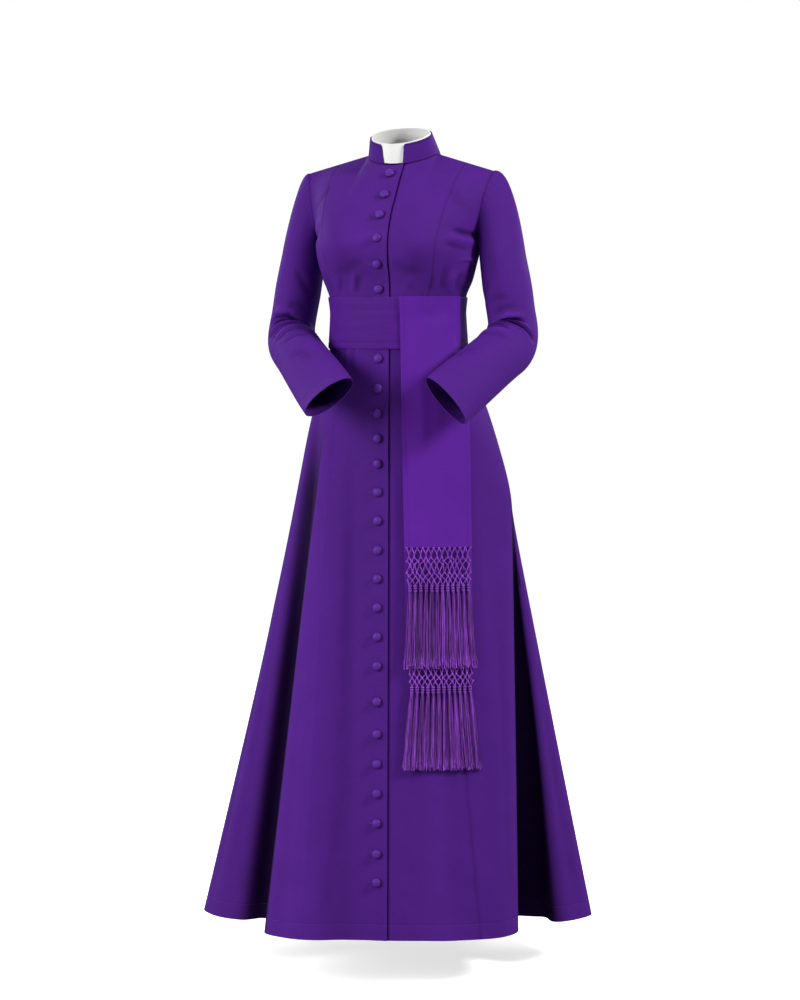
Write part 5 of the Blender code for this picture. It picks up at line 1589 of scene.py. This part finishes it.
def build_sash_end(end, cloth):
    """One hanging end of the sash, with soft lengthwise folds and a narrow turned edge."""
    # Rows and columns are close at the edges, where the cloth turns
    low = [end.bottom + rise for rise in (8, 4, 1.5, 0)]
    heights = np.array([*np.arange(end.top, end.bottom + 9, -END_ROW), *low])
    side = np.array([0, 1.2, 3, 5, END_HEM - 1.3, END_HEM, END_HEM + 1.3])
    distances = np.array([*side, *np.linspace(12, END_WIDTH - 12, 36), *(END_WIDTH - side[::-1])])
    grid = np.array([laid(z, distances, end.lift + END_CLOTH) for z in heights])
    places = np.broadcast_to(distances, grid.shape[:2])
    levels = np.broadcast_to(heights[:, None], grid.shape[:2])
    lift = sum(stroke(places, levels, *crease) for crease in END_CREASES[end.name])
    edges = np.minimum(distances, END_WIDTH - distances)
    lift = lift + END_EDGE_RISE * bell(edges, 4.0)[None, :]
    lift = lift + END_FOOT_RISE * bell(heights - end.bottom, 5.0)[:, None]
    hem = bell(edges - END_HEM, 1.1)[None, :] * np.ones((len(heights), 1))
    # The hem line sinks a little and gets painted shade
    patch = Patch(grid, lift - END_HEM_DIP * hem, 1 - END_HEM_PAINTED_SHADE * hem)
    sheet_piece(f"sash_end_{end.name}_cloth", [patch], from_skirt_axis, END_CLOTH, cloth,
                "purple_sash_cloth", ["sash_end_" + end.name])


# ---------------------------------------------------------------- fringe

# Heights of the net's knots, as shares of its depth: tall loops, then close and open meshes by turns
NET_ROWS = (0.0, 0.25, 0.35, 0.45, 0.66, 0.76, 0.86, 1.0)
NET_SEED = {"upper": 11, "lower": 12}
NET_LIFT = 2.6
NET_STRAY = 1.7  # how far a knot is off its even place
TONE_SEED = 50  # added to a seed for the draws of the tones

# The fringe hangs on a grid of points, in steps down it and across it, wider than the sash's end
HANGING_STEP = 5.0
HANGING_PITCH = 6.0
HANGING_MARGIN = 24.0

TASSEL_SEED = {"upper": 21, "lower": 22}
TASSEL_FLARE = {"upper": 1.1, "lower": 1.24}  # the row's width at its tips against its heads
TASSEL_FULL = (0.7, 0.96)  # the share of its pitch that a tassel fills, as a half width
TASSEL_NECK = 1.7  # the half width of the strands where they leave the head
TASSEL_SPREAD = 0.6  # the power of the length with which they widen
HEAD_WRAPS = 3
HEAD_RADIUS = 3.0
HEAD_CLEAR = 0.9
HEAD_OVERLAP = 1.5  # how far the head's wraps reach up over the net
STRAND_POINTS = 11
STRAND_SWAY = 2.4  # how far all of a tassel's strands lean
STRAND_STRAY = 1.6  # how far each strays at its tip
STRAND_LENGTHS = (0.975, 1.04)
TIP_CURL = 3.5  # how far the cut ends of the strands turn out


def hanging_surface(end):
    """A function from distance, height and lift to a point on the cloth that the fringe hangs over."""
    heights = np.arange(end.bottom + 10, end.tip - 3 * HANGING_STEP, -HANGING_STEP)
    distances = np.arange(-HANGING_MARGIN, END_WIDTH + HANGING_MARGIN + 1, HANGING_PITCH)
    points = np.array([laid(z, distances, 0.0) for z in heights])
    out = np.array([laid(z, distances, 1.0) for z in heights]) - points

    def at(distance, height, lift):
        u = (np.asarray(distance, float) + HANGING_MARGIN) / HANGING_PITCH
        v = (heights[0] - np.asarray(height, float)) / HANGING_STEP
        u, v = np.clip(u, 0, len(distances) - 1.001), np.clip(v, 0, len(heights) - 1.001)
        i, j = v.astype(int), u.astype(int)
        a, b = (v - i)[..., None], (u - j)[..., None]

        def blend(g):
            return mix(mix(g[i, j], g[i + 1, j], a), mix(g[i, j + 1], g[i + 1, j + 1], a), b)

        return blend(points) + blend(out) * np.asarray(lift, float)[..., None]

    return at


def net_places(row, dice):
    """The distances of the net's knots in one row, each a little off its even place."""
    pitch = (END_WIDTH - 2 * NET_MARGIN) / TASSELS
    half = 0.5 * (row % 2)
    count = TASSELS + 1 - row % 2
    even = NET_MARGIN + pitch * (np.arange(count) + half)
    return even + dice.uniform(-NET_STRAY, NET_STRAY, count) * (row > 0)


def build_net(end, thread):
    """The knotted net: cords that zigzag from the cloth's edge to the tassels, tied where they meet."""
    seed = NET_SEED[end.name]
    dice = np.random.default_rng(seed)
    at = hanging_surface(end)
    top, radius = end.bottom - 0.4, sizes().cord_radius / MM
    depth = top - end.net_bottom
    levels = [top - depth * share for share in NET_ROWS]
    rows = [net_places(r, dice) for r in range(len(NET_ROWS))]
    lines, knots = [], []
    for r in range(len(NET_ROWS) - 1):
        odd = r % 2
        for k, start in enumerate(rows[r]):
            for step in (-1, 1):
                j = k - 1 + odd if step < 0 else k + odd
                if not 0 <= j < len(rows[r + 1]):
                    continue
                # The cords bow out in the tall first loops, and run almost straight below them
                count, bow, ease = (9, 1.5, 0.5) if r == 0 else (5, 0.25, 0.15)
                t = np.linspace(0, 1, count)
                arch = np.sin(np.pi * t)
                d = mix(start, rows[r + 1][j], smooth_mix(t, ease)) + bow * arch * step
                z = mix(levels[r], levels[r + 1], t)
                lines.append(at(d, z, end.lift + NET_LIFT + radius + 0.45 * step * arch))
        knots.extend((place, levels[r]) for place in rows[r])
    tones = np.random.default_rng(seed + TONE_SEED).uniform(0.8, 1.25, len(lines))
    made = [threads(f"fringe_cords_{end.name}", lines, tones, radius * MM, 6, thread)]
    d, z = np.array(knots).T
    points = at(d, z, end.lift + NET_LIFT + 0.2 + radius)
    outward = unit(points - at(d, z, 0.0))
    made.append(copies(f"fringe_ties_{end.name}", points, outward, tie_shape(), 360, seed, thread))
    obj = join(made, f"fringe_net_{end.name}_cords", thread)
    declare(obj, "magenta_purple_thread", "fringe_net_" + end.name)


def smooth_mix(t, share):
    return t * (1 - share) + smooth_step(t) * share


def lathe(name, profile, sides, tones):
    """A closed body turned about Z from its profile of radius and height in millimetres.

    tones has one value for each point of the profile: the dye looks deeper where it lies in shade.
    """
    turns = [2 * math.pi * k / sides for k in range(sides)]
    points = [(radius * math.cos(a), radius * math.sin(a), height)
              for radius, height in profile for a in turns]
    ids = np.arange(len(points)).reshape(-1, sides)
    walls = corners_of(np.concatenate([ids, ids[:, :1]], axis=1)).reshape(-1, 4)
    mesh = bpy.data.meshes.new(name)
    ends = [ids[0, ::-1].tolist(), ids[-1].tolist()]
    mesh.from_pydata((np.array(points) * MM).tolist(), [], [*walls.tolist(), *ends])
    mesh.attributes.new(TONE, "FLOAT", "POINT").data.foreach_set("value", np.repeat(tones, sides))
    return new_object(name, mesh)


def tie_shape():
    """A small knot, where two cords of the net are tied."""
    # Painted shade at the knot's lower end and painted light on its upper side
    return lathe("tie", [(0.7, -1.7), (1.7, -1.0), (2.1, 0.0), (1.7, 1.0), (0.7, 1.7)], 8,
                 [0.4, 0.5, 0.85, 1.25, 1.35])


def copies(name, points, outward, shape, turn, seed, material):
    """Copies of a shape on the points, as one plain mesh. The shape itself is removed."""
    made = grown(name, carrier_of(points, [], outward), copies_tree, {
        "Copy": shape, "Scale": 1.0, "Turn": math.radians(turn), "Seed": seed, "Material": material})
    bpy.data.objects.remove(shape, do_unlink=True)
    return made


def threads(name, lines, tones, radius, sides, material):
    """A round thread along each line, as one plain mesh."""
    return grown(name, lines_carrier(lines, tones), thread_tree,
                 {"Radius": radius, "Sides": sides, "Material": material})


def join(objects, name, material):
    """The objects as one mesh of one material."""
    bm = bmesh.new()
    for obj in objects:
        bm.from_mesh(obj.data)
    for face in bm.faces:
        face.material_index = 0
    mesh = bpy.data.meshes.new(name)
    bm.to_mesh(mesh)
    bm.free()
    mesh.materials.append(material)
    for obj in objects:
        bpy.data.objects.remove(obj, do_unlink=True)
    joined = new_object(name, mesh)
    finish_mesh(joined, JOINED_SHARP)
    return joined


def build_tassels(end, thread):
    """The row of tassels: wrapped heads, and loose strands that widen to a ragged end."""
    seed = TASSEL_SEED[end.name]
    dice, shades = np.random.default_rng(seed), np.random.default_rng(seed + TONE_SEED)
    at = hanging_surface(end)
    pitch = (END_WIDTH - 2 * NET_MARGIN) / TASSELS
    places = NET_MARGIN + pitch * (np.arange(TASSELS) + 0.5)
    top, low = end.net_bottom + HEAD_OVERLAP, end.knot_bottom
    wraps = [mix(top, low, (wrap + 0.5) / HEAD_WRAPS) for wrap in range(HEAD_WRAPS)]
    heads = [(place + dice.uniform(-0.3, 0.3), height) for place in places for height in wraps]
    points = at(*np.array(heads).T, np.full(len(heads), end.lift + HEAD_CLEAR + HEAD_RADIUS))
    # The wraps' own axis is upright
    upright = np.tile([0.0, 0.0, 1.0], (len(heads), 1))
    made = [copies(f"tassel_heads_{end.name}", points, upright, wrap_shape(), 360, seed, thread)]
    middle = (places[0] + places[-1]) / 2
    t = np.linspace(0, 1, STRAND_POINTS)
    lines, tones = [], []
    for place in places:
        sway, full = dice.uniform(-STRAND_SWAY, STRAND_SWAY), shades.uniform(*TASSEL_FULL)
        wide = mix(TASSEL_NECK, pitch * full, t**TASSEL_SPREAD)
        flare = (place - middle) * (TASSEL_FLARE[end.name] - 1) * t
        for _ in range(sizes().strands_per_tassel):
            turn, reach = dice.uniform(0, 2 * math.pi), math.sqrt(dice.uniform(0.05, 1))
            side, ahead = reach * math.cos(turn), reach * math.sin(turn)
            length = (low - end.tip) * dice.uniform(*STRAND_LENGTHS)
            wave = dice.uniform(0.3, 1.1) * np.sin(t * dice.uniform(4, 8) + turn) * t
            wave = wave + dice.normal(0, STRAND_STRAY) * t**4
            distance = place + flare + side * wide + sway * t**2 + wave
            depth = 2.6 + 0.4 * (1 - t)
            out = end.lift + 1.0 + HEAD_RADIUS * (1 - t) + depth * (1 + ahead) * 0.85
            out = out + TIP_CURL * np.clip((t - 0.88) / 0.12, 0, 1) ** 2 * dice.uniform(0.2, 1)
            lines.append(at(distance, low + 2.0 - length * t, out))
            # Strands deep in the tassel and at its sides get painted shade against those on its face,
            # each strand's tone varies at random, and the colour grows paler towards the cut ends
            face = 0.24 + 0.45 * (ahead + 1) / 2 + 0.5 * (1 - abs(side))
            paler = 1 + 0.3 * np.clip((t - 0.8) / 0.2, 0, 1)
            tones.append(face * shades.uniform(0.5, 1.5) * paler)
    made.append(threads(f"tassel_strands_{end.name}", lines, tones, sizes().strand_radius, 4, thread))
    obj = join(made, f"tassels_{end.name}_strands", thread)
    declare(obj, "magenta_purple_thread", "tassels_" + end.name)


def wrap_shape():
    """One turn of the thread wrapped round a tassel's head."""
    profile = [(1.4, -2.3), (2.7, -1.7), (3.3, -0.4), (3.3, 0.4), (2.7, 1.7), (1.4, 2.3)]
    # Painted shade at the wrap's edges and painted light on its bulge
    return lathe("wrap", profile, 10, [0.35, 0.65, 1.15, 1.2, 0.85, 0.4])


# ---------------------------------------------------------------- buttons and stitches

BUTTON_PROFILE = [
    (0.50, 0.0), (0.84, 0.03), (0.97, 0.13), (1.0, 0.26), (0.965, 0.42), (0.87, 0.61),
    (0.72, 0.78), (0.52, 0.90), (0.27, 0.975), (0.08, 1.0),
]
# painted shade round the button's rim and a painted highlight on its crown
BUTTON_PAINTED_SHADING = [0.2, 0.22, 0.28, 0.42, 0.72, 1.0, 1.2, 1.3, 1.3, 1.3]
BUTTON_SIZE = (8.8, 6.4)  # radius and height
BUTTON_LIFT = 1.0
BUTTON_SIDES = 22
BUTTON_TURN = 40  # degrees up to which a button is turned on its shank
BUTTON_SEED = 5
STITCH_RADIUS = 0.32
STITCH_SHARE = 0.72  # the share of its pitch that a stitch fills
HOLE_HALF_HEIGHT = 0.8
HOLE_REACH = (7.5, 11.0, 14.5)  # along the hole, from under the button to its end
HOLE_STITCH = dict(pitch=0.9, length=1.4, radius=0.5)


def front_point(z):
    """The point on the centre front at height z, and the outward direction there."""
    if z <= WAIST_Z:
        def at(height):
            return skirt_ring_at(height)[[-1, 0, 1]]
    else:
        rows = [half_row(where)[0] for where in BODICE_WHERES]
        line = np.array([[mirrored(row[1]), row[0], row[1]] for row in rows])

        def at(height):
            return np.array([[np.interp(height, line[:, k, 2], line[:, k, j]) for j in range(3)]
                             for k in range(3)])
    up = at(z + BUTTON_SIZE[0])[1] - at(z - BUTTON_SIZE[0])[1]
    here = at(z)
    return here[1], unit(np.cross(here[2] - here[0], up))


def build_buttons(cloth):
    """The row of cloth-covered shank buttons down the centre front."""
    places = [front_point(z) for z in BUTTON_HEIGHTS]
    outward = np.array([out for _, out in places])
    points = np.array([point for point, _ in places]) + outward * BUTTON_LIFT
    radius, height = BUTTON_SIZE
    profile = [(r * radius, h * height) for r, h in BUTTON_PROFILE]
    # The dome gets painted shade round its rim and a painted highlight on its crown
    dome = lathe("dome", profile, BUTTON_SIDES, BUTTON_PAINTED_SHADING)
    obj = copies("buttons", points, outward, dome, BUTTON_TURN, BUTTON_SEED, cloth)
    finish_mesh(obj, BUTTON_SHARP)
    declare(obj, "purple_gabardine", *(f"button_{k:02d}" for k in range(1, len(BUTTON_HEIGHTS) + 1)))


def stitched(name, lines, pitch, length, radius, sewing):
    """Raised stitches along lines, with their sizes in millimetres."""
    obj = grown(name, lines_carrier(lines), stitch_tree, {
        "Pitch": pitch * MM, "Length": length * MM, "Radius": radius * MM, "Material": sewing})
    declare(obj, "purple_gabardine")


def build_stitches(sewing):
    """The machine stitches of the hem and of the band's fold, and the stitched buttonholes."""
    hem = int(np.argmin(np.abs(SKIRT_HEIGHTS - HEM_Z - HEM_DEPTH)))
    patch = skirt_patch()
    row = patch.grid[hem]
    lines = [row + flat_normals_open(row) * (patch.lift[hem][:, None] + 0.15)]
    ring = spline_at(np.array([body_ring(z) for z in BAND_ROWS]),
                     float(np.interp(-BAND_FOLD_Z, [-z for z in BAND_ROWS], range(len(BAND_ROWS)))))
    ring[:, 2] = BAND_FOLD_Z
    ring = ring + flat_normals(ring) * (BAND_LIFT + BAND_THICKNESS - 0.35)
    lines.append(np.concatenate([ring, ring[:1]]))
    pitch = sizes().stitch_pitch / MM
    stitched("machine_stitches", lines, pitch, pitch * STITCH_SHARE, STITCH_RADIUS, sewing)
    lines = []
    for z in BUTTON_HEIGHTS:
        point, outward = front_point(z)
        along = unit(np.cross(outward, [0.0, 0.0, 1.0]))
        for side in (-1, 1):
            rise = np.array([0, 0, side * HOLE_HALF_HEIGHT])
            lines.append([point + along * d + outward * 0.35 + rise for d in HOLE_REACH])
    stitched("buttonhole_stitches", lines, **HOLE_STITCH, sewing=sewing)


def flat_normals_open(line):
    tangent = np.gradient(line, axis=0)
    return unit(np.stack([tangent[:, 1], -tangent[:, 0], 0 * tangent[:, 0]], axis=1))


# ---------------------------------------------------------------- stage

FLOOR_Z = -1515.0
FLOOR_REACH = 30  # metres from its middle to each side
CAMERA_TURN = 19.0
CAMERA_AWAY = 6000.0
CAMERA_Z = -300.0
AIM_Z = -635.0
LENS = 117.4  # millimetres, as is the sensor's width
SENSOR = 36

# Soft studio lights: place and size in millimetres, power in watts
Lamp = namedtuple("Lamp", "name place target size power")
LAMPS = [
    Lamp("left", (-2566, -3169, 500), (0, 0, -750), 2000, 150),
    Lamp("right", (3930, -623, 1900), (0, 0, -750), 1000, 190),
    Lamp("behind_left", (1504, 3921, 1500), (0, 0, -700), 2000, 70),
    Lamp("behind_right", (-3600, 2163, 1500), (0, 0, -700), 2000, 70),
]
CEILING_STRENGTH = 0.75
CEILING_SPREAD = 60  # degrees over which the ceiling's light comes
CEILING_TILT = 12  # degrees by which its light comes from in front
ROOM_STRENGTH = 0.10
FLOOR_GLOW = 0.72  # a lit floor, as in a light table
FLOOR_BOUNCE = 0.35  # how pale the floor is to the light that it sends back up


def aimed(obj, place, target):
    """Puts a lamp or the camera in its place, turned towards its target."""
    obj.location = Vector(place) * MM
    obj.rotation_euler = (Vector(target) * MM - obj.location).to_track_quat("-Z", "Y").to_euler()
    bpy.context.scene.collection.objects.link(obj)


def show_apart(tree, output, to_camera, to_others):
    """One shader for what the camera sees at once, and another for the light that is sent on."""
    seen = add_node(tree, "ShaderNodeLightPath")
    both = add_node(tree, "ShaderNodeMixShader", links={
        0: seen.outputs["Is Camera Ray"], 1: to_others, 2: to_camera})
    fill(tree, tree.nodes[output], links={"Surface": both})


def build_stage():
    """A plain pale floor and backdrop, soft studio lights and the camera."""
    scene = bpy.context.scene
    world = bpy.data.worlds.new("studio")
    world.use_nodes = True
    tree = world.node_tree
    # A white backdrop, in front of a room that lights the cloth less than the backdrop's own white
    backdrop = add_node(tree, "ShaderNodeBackground", values={"Color": (1, 1, 1, 1), "Strength": 1.0})
    room = fill(tree, tree.nodes["Background"], {"Color": (1, 1, 1, 1), "Strength": ROOM_STRENGTH})
    show_apart(tree, "World Output", backdrop, room)
    scene.world = world
    scene.view_settings.view_transform = "Standard"

    mesh = bpy.data.meshes.new("floor")
    corners = ((-1, -1), (1, -1), (1, 1), (-1, 1))
    mesh.from_pydata([(x * FLOOR_REACH, y * FLOOR_REACH, FLOOR_Z * MM) for x, y in corners],
                     [], [(0, 1, 2, 3)])
    floor = new_object("floor", mesh)
    paint = bpy.data.materials.new("matt_white_paper")
    paint.use_nodes = True
    tree = paint.node_tree
    shader = fill(tree, tree.nodes["Principled BSDF"], {
        "Base Color": (*scene.cassock_colours.floor, 1.0), "Roughness": 0.9, "Specular IOR Level": 0.1,
        "Emission Color": (1, 1, 1, 1), "Emission Strength": FLOOR_GLOW})
    dull = add_node(tree, "ShaderNodeBsdfDiffuse", values={"Color": (*[FLOOR_BOUNCE] * 3, 1.0)})
    show_apart(tree, "Material Output", shader, dull)
    mesh.materials.append(paint)

    for lamp in LAMPS:
        light = bpy.data.lights.new(lamp.name, "AREA")
        light.size = lamp.size * MM
        light.energy = lamp.power
        holder = bpy.data.objects.new(lamp.name, light)
        holder.visible_camera = False
        aimed(holder, lamp.place, lamp.target)
    ceiling = bpy.data.lights.new("ceiling", "SUN")
    ceiling.energy = CEILING_STRENGTH
    ceiling.angle = math.radians(CEILING_SPREAD)
    holder = bpy.data.objects.new("ceiling", ceiling)
    holder.rotation_euler = (math.radians(CEILING_TILT), 0, 0)
    scene.collection.objects.link(holder)

    turn = math.radians(CAMERA_TURN)
    camera = bpy.data.cameras.new("camera")
    camera.lens = LENS
    camera.sensor_width = SENSOR
    holder = bpy.data.objects.new("camera", camera)
    place = (CAMERA_AWAY * math.sin(turn), -CAMERA_AWAY * math.cos(turn), CAMERA_Z)
    aimed(holder, place, (0, 0, AIM_Z))
    scene.camera = holder


# ---------------------------------------------------------------- settings, operators and panel


def sizes():
    return bpy.context.scene.cassock_sizes


def length_property(label, description, default, low, high):
    return bpy.props.FloatProperty(
        name=label, description=description, default=default, min=low, max=high, unit="LENGTH")


class CassockSizes(bpy.types.PropertyGroup):
    cloth_thickness: length_property(
        "Cloth thickness", "Thickness of the gabardine's wall", 0.0013, 0.0005, 0.003)
    cord_radius: length_property(
        "Net cord radius", "Radius of the cords of the knotted net", 0.0012, 0.0003, 0.002)
    strand_radius: length_property(
        "Strand radius", "Radius of one strand of a tassel", 0.00062, 0.0002, 0.001)
    strands_per_tassel: bpy.props.IntProperty(
        name="Strands", description="Strands in each tassel", default=42, min=8, max=80)
    stitch_pitch: length_property(
        "Stitch pitch", "Distance from one stitch to the next", 0.003, 0.0015, 0.008)


def colour_property(label, description, hex_colour):
    return bpy.props.FloatVectorProperty(
        name=label, description=description, default=linear(hex_colour), min=0, max=1,
        size=3, subtype="COLOR")


class CassockColours(bpy.types.PropertyGroup):
    gabardine: colour_property("Gabardine", "Colour of the garment's cloth", "#4f2083")
    sash: colour_property("Sash", "Colour of the sash's cloth", "#5d2299")
    thread: colour_property("Fringe", "Colour of the fringe's thread", "#9145c6")
    sewing: colour_property("Sewing thread", "Colour of the machine stitches", "#5d2b96")
    insert: colour_property("Collar insert", "Colour of the collar's insert", "#f4f4f1")
    floor: colour_property("Floor", "Colour of the studio floor", "#f6f6f6")


class PieceOperator:
    """What the operators of the garment's pieces share."""

    bl_options = {"REGISTER", "UNDO"}

    def execute(self, context):
        self.build(materials())
        return {"FINISHED"}


class CASSOCK_OT_bodice(PieceOperator, bpy.types.Operator):
    """Build the bodice's sewn panels"""

    bl_idname = "cassock.bodice"
    bl_label = "Bodice"

    def build(self, dressed):
        build_bodice(dressed["gabardine"])


class CASSOCK_OT_skirt(PieceOperator, bpy.types.Operator):
    """Build the flared skirt with its hanging folds"""

    bl_idname = "cassock.skirt"
    bl_label = "Skirt"

    def build(self, dressed):
        build_skirt(dressed["gabardine"])


class CASSOCK_OT_sleeves(PieceOperator, bpy.types.Operator):
    """Build both sleeves with the creases of their elbows"""

    bl_idname = "cassock.sleeves"
    bl_label = "Sleeves"

    def build(self, dressed):
        for arm in ARMS:
            build_sleeve(arm, dressed["gabardine"])


class CASSOCK_OT_collar(PieceOperator, bpy.types.Operator):
    """Build the stand collar and its white insert"""

    bl_idname = "cassock.collar"
    bl_label = "Collar"

    def build(self, dressed):
        build_collar(dressed["gabardine"], dressed["insert"])


class CASSOCK_OT_sash(PieceOperator, bpy.types.Operator):
    """Build the sash's band and its two hanging ends"""

    bl_idname = "cassock.sash"
    bl_label = "Sash"

    def build(self, dressed):
        build_band(dressed["band"])
        for end in SASH_ENDS:
            build_sash_end(end, dressed["sash"])


class CASSOCK_OT_fringe(PieceOperator, bpy.types.Operator):
    """Build the knotted nets and tassels of both ends"""

    bl_idname = "cassock.fringe"
    bl_label = "Fringe"

    def build(self, dressed):
        for end in SASH_ENDS:
            build_net(end, dressed["thread"])
            build_tassels(end, dressed["thread"])


class CASSOCK_OT_buttons(PieceOperator, bpy.types.Operator):
    """Build the covered buttons down the front"""

    bl_idname = "cassock.buttons"
    bl_label = "Buttons"

    def build(self, dressed):
        build_buttons(dressed["button"])


class CASSOCK_OT_stitches(PieceOperator, bpy.types.Operator):
    """Build the machine stitches and the stitched buttonholes"""

    bl_idname = "cassock.stitches"
    bl_label = "Stitches"

    def build(self, dressed):
        build_stitches(dressed["sewing"])


class CASSOCK_OT_stage(bpy.types.Operator):
    """Build the floor, the studio lights and the camera"""

    bl_idname = "cassock.stage"
    bl_label = "Stage"
    bl_options = {"REGISTER", "UNDO"}

    def execute(self, context):
        build_stage()
        return {"FINISHED"}


# The stage comes first, and the pieces in the order in which they lie on each other
PIECES = (
    CASSOCK_OT_stage, CASSOCK_OT_bodice, CASSOCK_OT_skirt, CASSOCK_OT_sleeves, CASSOCK_OT_collar,
    CASSOCK_OT_sash, CASSOCK_OT_fringe, CASSOCK_OT_buttons, CASSOCK_OT_stitches,
)


class CASSOCK_PT_panel(bpy.types.Panel):
    """The cassock's sizes, colours and pieces"""

    bl_idname = "CASSOCK_PT_panel"
    bl_label = "Cassock"
    bl_space_type = "VIEW_3D"
    bl_region_type = "UI"
    bl_category = "Cassock"

    def draw(self, context):
        for group in (context.scene.cassock_sizes, context.scene.cassock_colours):
            for name in group.__annotations__:
                self.layout.prop(group, name)
        for piece in PIECES:
            self.layout.operator(piece.bl_idname)


CLASSES = (CassockSizes, CassockColours, *PIECES, CASSOCK_PT_panel)


def register():
    for cls in CLASSES:
        bpy.utils.register_class(cls)
    bpy.types.Scene.cassock_sizes = bpy.props.PointerProperty(type=CassockSizes)
    bpy.types.Scene.cassock_colours = bpy.props.PointerProperty(type=CassockColours)


def unregister():
    del bpy.types.Scene.cassock_colours
    del bpy.types.Scene.cassock_sizes
    for cls in reversed(CLASSES):
        bpy.utils.unregister_class(cls)


def main():
    register()
    for piece in PIECES:
        group, name = piece.bl_idname.split(".")
        getattr(getattr(bpy.ops, group), name)()
    bpy.context.view_layer.update()


if __name__ == "__main__":
    main()
